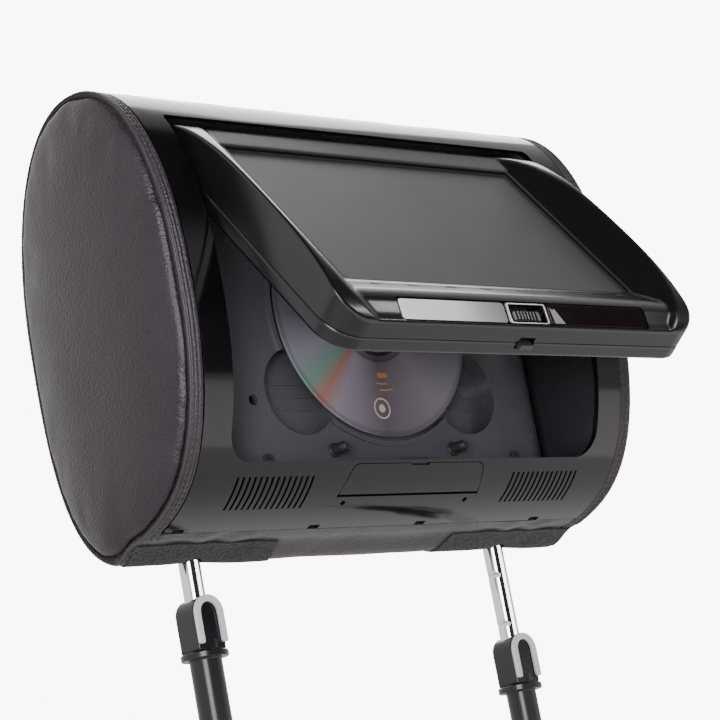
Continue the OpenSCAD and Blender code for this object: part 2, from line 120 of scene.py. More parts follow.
DARK_SIDE = Vector((0.10, -0.80, 0.59)).normalized()  # where the studio is unlit
direction = world_node("ShaderNodeTexCoord")
facing = world_node("ShaderNodeVectorMath", operation="DOT_PRODUCT")
facing.inputs[1].default_value = DARK_SIDE
shade = world_node("ShaderNodeValToRGB")
for position, value in ((0.0, 1.15), (0.5, 0.66), (0.61, 0.45), (0.67, 0.035)):
    stop = shade.color_ramp.elements.new(position)
    stop.color = (value, value * 0.97, value * 0.97, 1)
shade.color_ramp.elements.remove(shade.color_ramp.elements[0])
shade.color_ramp.elements[-1].color = (0.035, 0.036, 0.042, 1)
seen = world_node("ShaderNodeLightPath")
choose = world_node("ShaderNodeMixRGB")
choose.inputs["Color2"].default_value = (9.0, 9.0, 9.0, 1)
glow = world_node("ShaderNodeBackground", Strength=1.0)
sky = world_node("ShaderNodeOutputWorld")
tree.links.new(direction.outputs["Generated"], facing.inputs[0])
tree.links.new(facing.outputs["Value"], shade.inputs["Fac"])
tree.links.new(shade.outputs["Color"], choose.inputs["Color1"])
tree.links.new(seen.outputs["Is Camera Ray"], choose.inputs["Fac"])
tree.links.new(choose.outputs["Color"], glow.inputs["Color"])
tree.links.new(glow.outputs["Background"], sky.inputs["Surface"])


# %% Lamps and floor
def lamp(name, place, target, size, power, colour=(1, 1, 1)):
    data = bpy.data.lights.new(name, "AREA")
    data.shape = "RECTANGLE"
    data.size, data.size_y = size
    data.energy = power
    data.color = colour
    made = bpy.data.objects.new(name, data)
    bpy.context.scene.collection.objects.link(made)
    aim = Vector(target) - Vector(place)
    made.matrix_world = Matrix.Translation(place) @ aim.to_track_quat("-Z", "Y").to_matrix().to_4x4()
    return made


CENTRE = (0, -0.02, 0.25)
lamp("overhead", (0.75, 0.75, 1.2), CENTRE, (1.1, 0.9), 12, (1.0, 0.97, 0.94))
lamp("strip_box", (0.97, -1.04, 0.85), (-0.047, -0.14, 0.21), (0.15, 0.15), 1.6)
lamp("front_fill", (-1.15, -1.1, 0.45), CENTRE, (0.7, 0.9), 22, (0.95, 0.94, 1.0))
rim_fill = lamp("rim_fill", (-0.45, -1.35, 0.55), CENTRE, (0.4, 0.5), 13, (0.96, 0.9, 1.0))
bay_fill = lamp("bay_fill", (-1.1, -0.85, 0.0), (0.05, -0.02, 0.2), (0.3, 0.3), 17, (0.97, 0.96, 1.0))
lamp("low_bounce", (0.1, -0.35, -0.05), (0, -0.05, 0.2), (1.2, 0.5), 1.6, (1.0, 0.96, 0.94))

bpy.ops.mesh.primitive_plane_add(size=8, location=(0, 0, -0.06))
floor = bpy.context.object
floor.name = "floor"
card = lamp("post_card", (0.75, -0.95, 0.3), (0, 0, 0.1), (0.95, 0.5), 9)

# %% [markdown]
# ## Finishes
# A finish is more than a colour. Moulded plastic has a faint grain and uneven gloss, leather
# has pebbles with creases between them, and chrome has fine draw marks. Each finish below
# starts from one Principled shader, whose plain values are set on its own sockets, and adds
# patterns in object space, so that they keep their size on every part.


# %% Finish helpers
def new_finish(name, colour, rough, **sockets):
    mat = bpy.data.materials.new(name)
    mat.use_nodes = True
    shader = mat.node_tree.nodes["Principled BSDF"]
    shader.inputs["Base Color"].default_value = (*colour, 1)
    shader.inputs["Roughness"].default_value = rough
    for key, value in sockets.items():
        shader.inputs[key.replace("_", " ")].default_value = value
    return mat


def add_node(mat, kind, source=None, **values):
    made = mat.node_tree.nodes.new(kind)
    for key, value in values.items():
        key = key.replace("_", " ") if key.replace("_", " ") in made.inputs else key
        if key in made.inputs:
            made.inputs[key].default_value = value
        else:
            setattr(made, key, value)
    if source is not None:
        mat.node_tree.links.new(source, made.inputs[0])
    return made


def coords(mat):
    return add_node(mat, "ShaderNodeTexCoord").outputs["Object"]


def shader_input(mat, socket, source):
    mat.node_tree.links.new(source, mat.node_tree.nodes["Principled BSDF"].inputs[socket])


def ramp(mat, source, *stops):
    made = add_node(mat, "ShaderNodeValToRGB", source)
    band = made.color_ramp
    while len(band.elements) < len(stops):
        band.elements.new(0.5)
    for element, (position, value) in zip(band.elements, stops):
        element.position = position
        element.color = (*value, 1) if hasattr(value, "__len__") else (value, value, value, 1)
    return made.outputs["Color"]


def noise_of(mat, size, detail=3, source=None):
    """Noise whose blotches are about size millimetres across."""
    made = add_node(mat, "ShaderNodeTexNoise", source or coords(mat), Scale=1000 / size, Detail=detail)
    return made.outputs["Fac"]


def bump(mat, height, depth, before=None, strength=1.0):
    """A bump of depth millimetres, laid over the one before."""
    made = add_node(mat, "ShaderNodeBump", Strength=strength, Distance=depth * MM)
    mat.node_tree.links.new(height, made.inputs["Height"])
    if before is not None:
        mat.node_tree.links.new(before, made.inputs["Normal"])
    return made.outputs["Normal"]


def moulded(name, colour, rough, grain=0.012, spread=0.05, tint=0.12, **sockets):
    """Moulded plastic or painted metal: fine grain, faint gloss changes and a slight tint."""
    mat = new_finish(name, colour, rough, **sockets)
    blotch = noise_of(mat, 30)
    shader_input(mat, "Roughness", ramp(mat, blotch, (0.3, rough - spread), (0.7, rough + spread)))
    light = tuple(min(1, c * (1 + tint)) for c in colour)
    deep = tuple(c * (1 - tint) for c in colour)
    shader_input(mat, "Base Color", ramp(mat, noise_of(mat, 55, 2), (0.3, deep), (0.7, light)))
    waves = bump(mat, blotch, 0.02, strength=0.25)
    shader_input(mat, "Normal", bump(mat, noise_of(mat, 0.45, 2), grain, waves))
    return mat


# %% Leather and fabric
def leather(name, colour, rough, pebble=1.15, depth=0.16):
    """Pebbled leatherette: rounded pebbles, creases, pores, and patches that are worn smoother."""
    mat = new_finish(name, colour, rough, Specular_IOR_Level=0.45, Sheen_Weight=0.12,
                     Sheen_Roughness=0.45)
    place = coords(mat)
    warp = add_node(mat, "ShaderNodeTexNoise", place, Scale=260, Detail=2)
    bend = add_node(mat, "ShaderNodeVectorMath", operation="MULTIPLY_ADD")
    mat.node_tree.links.new(warp.outputs["Color"], bend.inputs[0])
    bend.inputs[1].default_value = (0.0011, 0.0011, 0.0011)
    mat.node_tree.links.new(place, bend.inputs[2])
    cells = add_node(mat, "ShaderNodeTexVoronoi", bend.outputs[0], feature="SMOOTH_F1", Scale=1000 / pebble)
    cells.inputs["Smoothness"].default_value = 0.35
    pebbles = ramp(mat, cells.outputs["Distance"], (0.0, 1.0), (0.42, 0.72), (0.85, 0.0))
    wide = noise_of(mat, 22)
    shader_input(mat, "Roughness", ramp(mat, wide, (0.3, rough - 0.06), (0.7, rough + 0.07)))
    tone = add_node(mat, "ShaderNodeMixRGB", blend_type="MULTIPLY")
    tone.inputs["Fac"].default_value = 0.55
    deep = tuple(c * 0.8 for c in colour)
    light = tuple(c * 1.18 for c in colour)
    mat.node_tree.links.new(ramp(mat, wide, (0.25, deep), (0.75, light)), tone.inputs["Color1"])
    mat.node_tree.links.new(ramp(mat, pebbles, (0.0, 0.35), (0.5, 1.0)), tone.inputs["Color2"])
    shader_input(mat, "Base Color", tone.outputs["Color"])
    soft = bump(mat, noise_of(mat, 7), 0.25, strength=0.5)
    shader_input(mat, "Normal", bump(mat, pebbles, depth, soft))
    return mat


LEATHER = leather("pebbled_leatherette", (0.0150, 0.0086, 0.0140), 0.44)
PIPING = leather("piping_leatherette", (0.028, 0.022, 0.026), 0.4, 0.8, 0.08)
THREAD = new_finish("sewing_thread", (0.016, 0.013, 0.015), 0.6, Sheen_Weight=0.4)
twist = add_node(THREAD, "ShaderNodeTexWave", coords(THREAD), Scale=900, Distortion=1.0)
shader_input(THREAD, "Normal", bump(THREAD, twist.outputs["Fac"], 0.05))
shader_input(THREAD, "Base Color", ramp(THREAD, twist.outputs["Fac"], (0.2, (0.010, 0.008, 0.010)),
                                        (0.8, (0.03, 0.025, 0.028))))

LOOP = new_finish("loop_tape", (0.02, 0.017, 0.02), 0.9, Sheen_Weight=0.08, Sheen_Roughness=0.5)
weave = add_node(LOOP, "ShaderNodeTexVoronoi", coords(LOOP), Scale=750)
shader_input(LOOP, "Base Color", ramp(LOOP, weave.outputs["Distance"], (0.1, (0.034, 0.028, 0.032)),
                                      (0.7, (0.003, 0.003, 0.004))))
shader_input(LOOP, "Normal", bump(LOOP, weave.outputs["Distance"], 0.5))

FOAM = new_finish("seat_foam", (0.06, 0.055, 0.06), 0.95)
holes = add_node(FOAM, "ShaderNodeTexVoronoi", coords(FOAM), Scale=900)
shader_input(FOAM, "Base Color", ramp(FOAM, holes.outputs["Distance"], (0.1, (0.03, 0.028, 0.03)),
                                      (0.5, (0.07, 0.065, 0.07))))
shader_input(FOAM, "Normal", bump(FOAM, holes.outputs["Distance"], 0.6))

# %% Plastic, metal and glass
GLOSS = moulded("gloss_black_plastic", (0.004, 0.004, 0.0045), 0.12, 0.0012, 0.03)
SATIN = moulded("satin_black_plastic", (0.006, 0.006, 0.007), 0.22, 0.004, 0.03)
DECK = moulded("deck_plastic", (0.048, 0.046, 0.054), 0.3, 0.02)
BAY = moulded("bay_plastic", (0.02, 0.02, 0.024), 0.28, 0.01)
MATTE = moulded("matte_black_plastic", (0.012, 0.012, 0.014), 0.55, 0.03)
RUBBER = moulded("soft_rubber", (0.012, 0.012, 0.012), 0.75, 0.03)
GREY = moulded("grey_moulded_plastic", (0.62, 0.60, 0.64), 0.35, 0.015)
BOARD = moulded("board_lacquer", (0.012, 0.09, 0.035), 0.3, 0.01, 0.08, 0.3)
PAINTED = moulded("dark_painted_steel", (0.03, 0.03, 0.033), 0.4, 0.03)
STEEL = moulded("bright_zinc_steel", (0.55, 0.55, 0.57), 0.28, 0.01, 0.08, 0.1, Metallic=1.0)
CHROME = moulded("polished_chrome", (0.86, 0.86, 0.88), 0.05, 0.0006, 0.02, 0.02, Metallic=1.0)
IR_GLASS = moulded("dark_red_window", (0.006, 0.0025, 0.0025), 0.08, 0.0008, 0.02, 0.2)
LENS = new_finish("pickup_lens_glass", (0.25, 0.42, 0.6), 0.05, Transmission_Weight=0.6, Coat_Weight=0.6)
shader_input(LENS, "Base Color", ramp(LENS, noise_of(LENS, 3), (0.3, (0.16, 0.3, 0.5)),
                                      (0.7, (0.34, 0.5, 0.66))))
FILM = moulded("display_film", (0.05, 0.046, 0.044), 0.36, 0.004, 0.02, 0.05, Specular_IOR_Level=0.4)
print(len(bpy.data.materials), "finishes are ready")

# %% [markdown]
# ## Modelling helpers
# Nearly every part here starts in one of three ways: a flat outline that is extruded, a ring
# that is spun about an axis, or a grid whose points are lifted. Holes are cut with Booleans,
# edges are rounded with a Bevel, and each part ends with its object at the origin.


# %% Selecting and cutting
def clear():
    if bpy.context.mode != "OBJECT":
        bpy.ops.object.mode_set(mode="OBJECT")
    bpy.ops.object.select_all(action="DESELECT")


def alone(obj):
    clear()
    obj.select_set(True)
    bpy.context.view_layer.objects.active = obj
    return obj


def edit(obj, *steps):
    """Run edit-mode steps on everything in the mesh."""
    alone(obj)
    bpy.ops.object.mode_set(mode="EDIT")
    bpy.ops.mesh.select_mode(type="VERT")
    bpy.ops.mesh.select_all(action="SELECT")
    for step in steps:
        step()
    bpy.ops.object.mode_set(mode="OBJECT")
    return obj


def delete_faces(obj, test):
    """Delete the faces whose centre passes the test."""
    edit(obj, lambda: bpy.ops.mesh.select_all(action="DESELECT"))
    for polygon in obj.data.polygons:
        polygon.select = test(polygon.center)
    bpy.ops.object.mode_set(mode="EDIT")
    bpy.ops.mesh.select_mode(type="FACE")
    bpy.ops.mesh.delete(type="FACE")
    bpy.ops.mesh.select_mode(type="VERT")
    bpy.ops.object.mode_set(mode="OBJECT")


def outwards():
    bpy.ops.mesh.select_all(action="SELECT")
    bpy.ops.mesh.normals_make_consistent(inside=False)


def apply(obj, kind, **values):
    alone(obj)
    made = obj.modifiers.new(kind.lower(), kind)
    for key, value in values.items():
        setattr(made, key, value)
    bpy.ops.object.modifier_apply(modifier=made.name)
    return obj


def cut(obj, *cutters, operation="DIFFERENCE"):
    """Cut obj with the cutters, or add them, one after another, and remove them."""
    for cutter in cutters:
        apply(obj, "BOOLEAN", object=cutter, operation=operation, solver="EXACT")
        bpy.data.objects.remove(cutter)
    return obj


def together(name, pieces):
    clear()
    for piece in pieces:
        piece.select_set(True)
    bpy.context.view_layer.objects.active = pieces[0]
    if len(pieces) > 1:
        bpy.ops.object.join()
    pieces[0].name = name
    return pieces[0]


def rounded_edges(obj, width, segments=3, angle=35, clamp=True):
    return apply(obj, "BEVEL", width=width * MM, segments=segments, limit_method="ANGLE",
                 angle_limit=math.radians(angle), use_clamp_overlap=clamp, miter_outer="MITER_ARC")


def dressed(obj, name, body, slot, mat, *nodes, angle=32, weighted=True):
    """Smooth the finished mesh, give it its finish and tie it to its body."""
    obj.name = name
    obj.data.name = name
    alone(obj)
    bpy.ops.object.shade_smooth_by_angle(angle=math.radians(angle))
    if weighted:
        apply(obj, "WEIGHTED_NORMAL", keep_sharp=True, weight=80)
    obj.data.materials.clear()
    obj.data.materials.append(mat)
    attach(obj, body)
    if nodes:
        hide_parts(*nodes)
    print(f"{name}: {len(obj.data.polygons)} faces")
    return obj


# %% Starting shapes
def plate(outline, low, high, into=FACE, name="plate"):
    """A flat outline in millimetres, extruded from low to high."""
    clear()
    bpy.ops.mesh.primitive_circle_add(vertices=len(outline), fill_type="NGON")
    obj = bpy.context.object
    obj.name = name
    for vertex, (x, y) in zip(obj.data.vertices, outline):
        vertex.co = Vector((x, y, low)) * MM
    edit(obj, lambda: bpy.ops.mesh.extrude_region_move(
        TRANSFORM_OT_translate={"value": (0, 0, (high - low) * MM)}), outwards)
    obj.data.transform(into)
    return obj


def turned(profile, into=FACE, steps=96, name="turned"):
    """A closed ring of (radius, height) points, spun about the frame's Z."""
    clear()
    bpy.ops.mesh.primitive_circle_add(vertices=len(profile), fill_type="NOTHING")
    obj = bpy.context.object
    obj.name = name
    for vertex, (r, h) in zip(obj.data.vertices, profile):
        vertex.co = Vector((r, 0, h)) * MM
    edit(obj, lambda: bpy.ops.mesh.spin(steps=steps, angle=math.tau, center=(0, 0, 0), axis=(0, 0, 1)),
         lambda: bpy.ops.mesh.select_all(action="SELECT"),
         lambda: bpy.ops.mesh.remove_doubles(threshold=0.000002),
         lambda: bpy.ops.mesh.dissolve_degenerate(threshold=0.000001), outwards)
    obj.data.transform(into)
    return obj


def drum(x, y, radius, low, high, into=FACE, corners=64):
    """A plain round bar along the frame's Z, as a cutter or a start."""
    clear()
    bpy.ops.mesh.primitive_cylinder_add(vertices=corners, radius=radius * MM, depth=(high - low) * MM,
                                        location=(x * MM, y * MM, (low + high) / 2 * MM))
    obj = bpy.context.object
    bpy.ops.object.transform_apply(location=True, rotation=True, scale=True)
    obj.data.transform(into)
    return obj


def block(x0, x1, y0, y1, z0, z1, into=PLAYER):
    clear()
    bpy.ops.mesh.primitive_cube_add(size=1, location=((x0 + x1) / 2 * MM, (y0 + y1) / 2 * MM,
                                                      (z0 + z1) / 2 * MM))
    obj = bpy.context.object
    obj.scale = ((x1 - x0) * MM, (y1 - y0) * MM, (z1 - z0) * MM)
    bpy.ops.object.transform_apply(location=True, rotation=True, scale=True)
    obj.data.transform(into)
    return obj


def corner(cx, cy, r, start, stop, steps=10):
    """Points round one corner, from the start angle to the stop angle in degrees."""
    return [(cx + r * math.cos(math.radians(start + (stop - start) * i / steps)),
             cy + r * math.sin(math.radians(start + (stop - start) * i / steps))) for i in range(steps + 1)]


def rounded_box(x0, x1, y0, y1, low_r, top_r=None, steps=10):
    top_r = low_r if top_r is None else top_r
    return (corner(x1 - low_r, y0 + low_r, low_r, -90, 0, steps)
            + corner(x1 - top_r, y1 - top_r, top_r, 0, 90, steps)
            + corner(x0 + top_r, y1 - top_r, top_r, 90, 180, steps)
            + corner(x0 + low_r, y0 + low_r, low_r, 180, 270, steps))


# %% [markdown]
# ## The oval
# Seen from the side, the headrest is a tall oval: fuller at its back than at its front. Four
# quarter curves with their own fullness make it, and every part of the shell follows it, so
# it is written once, with a second function that spaces points evenly along it.

# %% Oval
OVAL_Y, OVAL_Z, HALF_DEPTH = 23, 3, 57
HALF_TOP, HALF_LOW, LOW_SAG, BELLY = 104.2, 99, 4.4, 8.5


def oval_point(angle, grow=0.0):
    c, s = math.cos(math.radians(angle)), math.sin(math.radians(angle))
    if s >= 0:
        full, half = (2.2 if c < 0 else 2.1), HALF_TOP
    elif c < 0:
        full, half = 2.3, HALF_LOW + LOW_SAG * (1 + c) ** 5
    else:
        ease = min(c / 0.25, 1)
        full, half = 2.8, HALF_LOW + LOW_SAG + BELLY * ease * ease * (3 - 2 * ease)
    return (OVAL_Y + (HALF_DEPTH + grow) * math.copysign(abs(c) ** (2 / full), c),
            OVAL_Z + (half + grow) * math.copysign(abs(s) ** (2 / full), s))


def oval_run(start, stop, count, grow=0.0):
    """count points spread evenly along the oval between two angles."""
    fine = [oval_point(start + (stop - start) * i / 2000, grow) for i in range(2001)]
    along = [0.0]
    for a, b in zip(fine, fine[1:]):
        along.append(along[-1] + math.dist(a, b))
    points, j = [], 0
    for i in range(count):
        want = along[-1] * i / (count - 1)
        while j < 1999 and along[j + 1] < want:
            j += 1
        part = (want - along[j]) / max(along[j + 1] - along[j], 1e-9)
        points.append(tuple(a + (b - a) * part for a, b in zip(fine[j], fine[j + 1])))
    return points


FRONT_TOP, FRONT_LOW = 106.3, 265.7  # angles between which the front is plastic
SEAM_X = 141.5
FRONT_X = 134

# %% [markdown]
# ## Plastic front
# The front is one thin moulding that continues the oval, with a wide mouth for the screen.
# Its outline is extruded across, then the mouth, the card door's place, the loudspeaker
# slots and the snap notches are cut, and each rim gets a small radius that catches light.


# %% Front shell
def front_shell(half_width, thick, inset=0.0):
    outer = oval_run(FRONT_TOP, FRONT_LOW, 150, -inset)
    inner = oval_run(FRONT_TOP, FRONT_LOW, 150, -inset - thick)
    return plate(outer + inner[::-1], -half_width, half_width, SIDE)


MOUTH = rounded_box(-118, 118, -75, 87.6, 12, 2.5, 12)
DOOR_HALF = 8.7


def door_outline(grow, foot):
    """The card door's outline on the slope: wide at its foot, with rounded top corners."""
    low = foot - DOOR_HALF
    top = DOOR_HALF + grow
    side = [(45.5 + grow, low), (43.2 + grow, 2.0 + grow)]
    bend = [(42.5 + grow - 4.6 * t * t, 3.6 + grow + (top - 3.6 - grow) * (1 - (1 - t) ** 2))
            for t in (0.15, 0.35, 0.55, 0.75, 0.9, 1.0)]
    half = side + bend
    return half + [(-x, y) for x, y in reversed(half)]


front = front_shell(FRONT_X, 2.8)
cut(front, plate(MOUTH, -12, 70))
rounded_edges(front, 1.1, 4)
slots = []
for side in (-1, 1):
    for i in range(14):
        slots.append(block(-0.65, 0.65, -6, 6, -9, 9, PLAYER @ shift(side * 87 + (i - 6.5) * 3.4, -5.2, -87.2)
                           @ turn_x(math.radians(51))))
    slots.append(block(-1.3, 1.3, -5, 5, -1.2, 1.2, PLAYER @ shift(side * 39.5, 0.3, -90.9)
                       @ turn_x(math.radians(51)) @ Matrix.Rotation(0.5, 4, "Y")))
for x in (-126, -46, 22, 101):
    slots.append(block(x - 3.2, x + 3.2, 14.2, 20, -104, -95))
cut(front, together("slots", slots))
cut(front, plate(door_outline(0.28, 0), -9, 9, DOOR))
rounded_edges(front, 0.16, 1, 50)
dressed(front, "front_moulding", "headrest", "gloss_black", GLOSS, "fascia")

# %% [markdown]
# The card door lies in the same curved surface, so it is cut from the same shell with a
# slightly smaller outline. It keeps a barrel along its foot for the hinge and a thumb notch.

# %% Card door
door = front_shell(44.8, 2.4)
cut(door, plate(door_outline(-0.1, 1.3), -9, 9, DOOR), operation="INTERSECT")
barrel_line = PLAYER @ shift(0, -3.3, -86.9) @ Matrix.Rotation(math.pi / 2, 4, "Y")
cut(door, drum(0, 0, 1.2, -45, 45, barrel_line, 32), operation="UNION")
cut(door, plate(rounded_box(-6, 6, DOOR_HALF - 1.1, DOOR_HALF + 3, 0.8, steps=4), -1.2, 6, DOOR))
cut(door, drum(0, 0, 0.8, -60, 60, barrel_line, 24))
rounded_edges(door, 0.25, 2, 40)
dressed(door, "card_door_cover", "card_flap", "gloss_black", GLOSS, "card_door")

# %% [markdown]
# ## Player bay
# Behind the mouth sits a deep tub, and in it a deck with a shallow pocket for the disc, two
# finger scoops beside it and locating pins. The deck's ends roll back into dark side wells.

# %% Tub
tub = plate(rounded_box(-120, 120, -77.5, 90.1, 13, 3, 10), -27.5, 45)
cut(tub, plate([oval_point(a, -3.1) for a in range(0, 360, 2)], -126, 126, SIDE), operation="INTERSECT")
hinge_bar = PLAYER @ Matrix.Translation(HINGE) @ Matrix.Rotation(math.pi / 2, 4, "Y")
cut(tub, drum(0, 0, 7, -123.4, -116, hinge_bar), drum(0, 0, 7, 116, 123.4, hinge_bar), operation="UNION")
cut(tub, plate(rounded_box(-117.5, 117.5, -75, 87.6, 11.5, 2, 12), -25, 60))
cut(tub, drum(0, 0, 2.55, -130, 130, hinge_bar, 48))
rounded_edges(tub, 0.35, 2, 40)
dressed(tub, "bay_liner", "headrest", "satin_black", BAY, "bay_tub")

# %% Deck
ROLL_X, ROLL_R, WALL = 92, 20, 2.5
SCOOP_X, SCOOP_Z = 53, -37.5
PIN_X, PIN_Z = 38.5, -66
right_outer = corner(ROLL_X, 0.5 + ROLL_R, ROLL_R, -90, 0, 14)
right_inner = corner(ROLL_X, 0.5 + ROLL_R, ROLL_R - WALL, 0, -90, 14)
across = right_outer + right_inner
across += [(-x, y) for x, y in reversed(across)]
deck = plate(across, -74.7, 87.3, PLAYER)
cut(deck, block(-91.9, 91.9, 2.4, 5.5, 65.2, 83), operation="UNION")
cut(deck, drum(0, 0, 12.5, -130, 130, hinge_bar, 160))
cut(deck, drum(0, 0, 64.5, -5, 0.7, corners=160), drum(-SCOOP_X, SCOOP_Z, 23, -11.5, -0.5, corners=96),
    drum(SCOOP_X, SCOOP_Z, 23, -11.5, -0.5, corners=96), operation="UNION")
cut(deck, drum(0, 0, 62, -3, 8, corners=160), drum(-SCOOP_X, SCOOP_Z, 21, -9.5, 8, corners=96),
    drum(SCOOP_X, SCOOP_Z, 21, -9.5, 8, corners=96), drum(0, 0, 17, -12, 8, corners=64))
holes = [plate(rounded_box(0, 58, -7, 7, 3, steps=5), -12, 2), drum(-82, -42, 2.6, -5, 3, corners=40)]
holes += [drum(x, PIN_Z, 1.5, -12, 5, corners=24) for x in (-PIN_X, PIN_X)]
holes += [drum(x, z, 1.6, -12, 5, corners=24) for x in (-80, 80) for z in (-70, 84)]
cut(deck, *holes)
ribs = []
for side in (-1, 1):
    for z in (-44, -38, -32):
        middle = side * SCOOP_X
        ribs.append(plate(rounded_box(middle - 14, middle + 14, z - 0.5, z + 0.5, 0.45, steps=3), -10, -8.7))
cut(deck, together("ribs", ribs), operation="UNION")
rounded_edges(deck, 0.4, 2, 40)
dressed(deck, "disc_deck", "headrest", "satin_black", DECK, "deck_plate")

# %% Locating pins
pins = []
for x in (-PIN_X, PIN_X):
    at = FACE @ shift(x, PIN_Z, 0)
    pin = turned([(0, -8), (1.45, -8), (1.45, -0.5), (3.4, -0.5), (3.5, 0.2), (3.2, 0.75), (2.5, 0.9),
                  (2.5, 6.9), (2.2, 7.5), (2.0, 7.8), (1.9, 8.5), (1.6, 8.8), (0.9, 8.8), (0.8, 8.3),
                  (0, 8.3)], at, 40)
    ribs = [block(-0.25, 0.25, 0, 2.75, 0.8, 6.6, at @ Matrix.Rotation(math.tau * i / 10, 4, "Z"))
            for i in range(10)]
    cut(pin, together("ribs", ribs), operation="UNION")
    pins.append(pin)
dressed(together("pins", pins), "ribbed_pins", "headrest", "satin_black", MATTE, "locating_pins",
        weighted=False)

# %% [markdown]
# ## Disc and its hub
# A disc is a polished sheet with a clear inner ring, a stacking ridge and a data area. Its
# light and dark sweep round the disc and its green and red glint are painted reflection in
# its colour, set by the angle round the centre. It is spun from one profile. The printed side
# here carries only plain rings and a small abstract mark. The hub has three sprung balls round its rim.

# %% Disc finish
DISC = new_finish("disc_surface", (0.5, 0.48, 0.53), 0.3, Metallic=0.3, Anisotropic=0.6, Coat_Weight=0.2)
place = add_node(DISC, "ShaderNodeMapping", coords(DISC))
place.inputs["Location"].default_value = tuple(-PLAYER.translation)
split = add_node(DISC, "ShaderNodeSeparateXYZ", place.outputs[0])
flat = add_node(DISC, "ShaderNodeCombineXYZ")
DISC.node_tree.links.new(split.outputs["X"], flat.inputs["X"])
DISC.node_tree.links.new(split.outputs["Z"], flat.inputs["Y"])
radius = add_node(DISC, "ShaderNodeVectorMath", flat.outputs[0], operation="LENGTH").outputs["Value"]
turn = add_node(DISC, "ShaderNodeMath", split.outputs["Z"], operation="ARCTAN2")
DISC.node_tree.links.new(split.outputs["X"], turn.inputs[1])
angle = add_node(DISC, "ShaderNodeMath", turn.outputs[0], operation="MULTIPLY_ADD")
angle.inputs[1].default_value = 1 / math.tau
angle.inputs[2].default_value = 0.5
# Painted reflection: the colour grows lighter and darker with the angle round the disc, and a green and red
# glint is painted just past a tenth of a turn.
sheen = ramp(DISC, angle.outputs[0], (0.0, (0.10, 0.09, 0.11)), (0.06, (0.22, 0.21, 0.25)),
             (0.10, (0.14, 0.24, 0.19)), (0.125, (0.30, 0.15, 0.13)), (0.15, (0.24, 0.22, 0.26)),
             (0.24, (0.11, 0.09, 0.11)), (0.36, (0.19, 0.17, 0.20)), (0.5, (0.13, 0.12, 0.14)),
             (0.62, (0.18, 0.17, 0.20)), (0.8, (0.10, 0.09, 0.11)), (1.0, (0.10, 0.09, 0.11)))
at_radius = add_node(DISC, "ShaderNodeMath", radius, operation="MULTIPLY")
at_radius.inputs[1].default_value = 1000 / 60
bands = ramp(DISC, at_radius.outputs[0], (0.0, 0.16), (0.335, 0.2), (0.34, 0.62), (0.385, 0.42), (0.39, 0.95),
             (0.95, 1.0), (0.962, 0.78), (1.0, 0.7))
# The painted reflection is multiplied by the disc's own rings: the clear hub, the data area and the rim.
painted_sheen_and_rings = add_node(DISC, "ShaderNodeMixRGB", blend_type="MULTIPLY")
painted_sheen_and_rings.inputs["Fac"].default_value = 1.0
DISC.node_tree.links.new(sheen, painted_sheen_and_rings.inputs["Color1"])
DISC.node_tree.links.new(bands, painted_sheen_and_rings.inputs["Color2"])
shader_input(DISC, "Base Color", painted_sheen_and_rings.outputs["Color"])
tracks = add_node(DISC, "ShaderNodeMath", radius, operation="MULTIPLY")
tracks.inputs[1].default_value = 9000
wave = add_node(DISC, "ShaderNodeMath", tracks.outputs[0], operation="SINE")
shader_input(DISC, "Normal", bump(DISC, wave.outputs[0], 0.002))
shader_input(DISC, "Roughness", ramp(DISC, noise_of(DISC, 18), (0.3, 0.24), (0.7, 0.27)))

# %% Disc
disc = turned([(7.5, -0.45), (7.65, -0.6), (59.7, -0.6), (60, -0.4), (60, 0.4), (59.7, 0.6), (24.4, 0.6),
               (24.2, 0.52), (23.0, 0.52), (22.8, 0.6), (18.2, 0.6), (17.9, 0.78), (17.3, 0.78), (17.0, 0.6),
               (7.65, 0.6), (7.5, 0.45)], steps=160)
dressed(disc, "video_disc", "disc", "disc_silver", DISC, "disc", angle=25)

# %% Printed marks
PRINT = moulded("amber_print", (0.42, 0.19, 0.05), 0.4, 0.004, 0.05, 0.25)
PALE_PRINT = moulded("pale_print", (0.50, 0.40, 0.30), 0.45, 0.004, 0.05, 0.2)
marks = []
for low, high, r0, r1 in ((-96, -84, 28.5, 31.0), (-98, -86, 33.5, 34.3), (-95, -82, 36.6, 37.4)):
    marks.append(plate(corner(0, 0, r1, low, high) + corner(0, 0, r0, high, low), 0.58, 0.64))
dressed(together("marks", marks), "disc_print_bars", "disc", "disc_silver", PRINT, weighted=False)
ring = turned([(4.4, 0.58), (5.2, 0.58), (5.2, 0.65), (4.4, 0.65)], FACE @ shift(-4, -46, 0), 40)
dot = turned([(0, 0.58), (2.0, 0.58), (2.0, 0.65), (0, 0.65)], FACE @ shift(-4, -46, 0), 32)
dressed(together("ring", [ring, dot]), "disc_print_ring", "disc", "disc_silver", PALE_PRINT, weighted=False)

# %% Hub
hub = turned([(1.0, -5), (4, -5), (4, -2.6), (13.6, -2.6), (14, -2.2), (14, -0.7), (13.7, -0.6), (7.35, -0.6),
              (7.35, 1.4), (7.0, 2.0), (6.2, 2.4), (4.4, 2.4), (4.0, 2.0), (3.6, 1.2), (1.0, 1.2)], steps=72)
dressed(hub, "disc_hub", "spindle", "satin_black", MATTE, "spindle_hub")
balls = []
for i in range(3):
    clear()
    a = math.tau * i / 3 + 0.4
    bpy.ops.mesh.primitive_uv_sphere_add(segments=20, ring_count=12, radius=1.1 * MM,
                                         location=(6.3 * MM * math.cos(a), 6.3 * MM * math.sin(a), 1.15 * MM))
    ball = bpy.context.object
    bpy.ops.object.transform_apply(location=True, rotation=True, scale=True)
    ball.data.transform(FACE)
    balls.append(ball)
dressed(together("balls", balls), "hub_balls", "spindle", "bright_steel", STEEL, weighted=False)

# %% [markdown]
# ## Screen
# The screen's bezel is a landscape: flat round the display, with high cheeks at both sides, a
# rounded bar along the bottom and a low bar at the top. It is made from a grid whose points
# are lifted to one height rule, so that every rise and rounding flows into the next. Its
# walls are extruded down from the rim, and the window and the recesses are cut at the end.

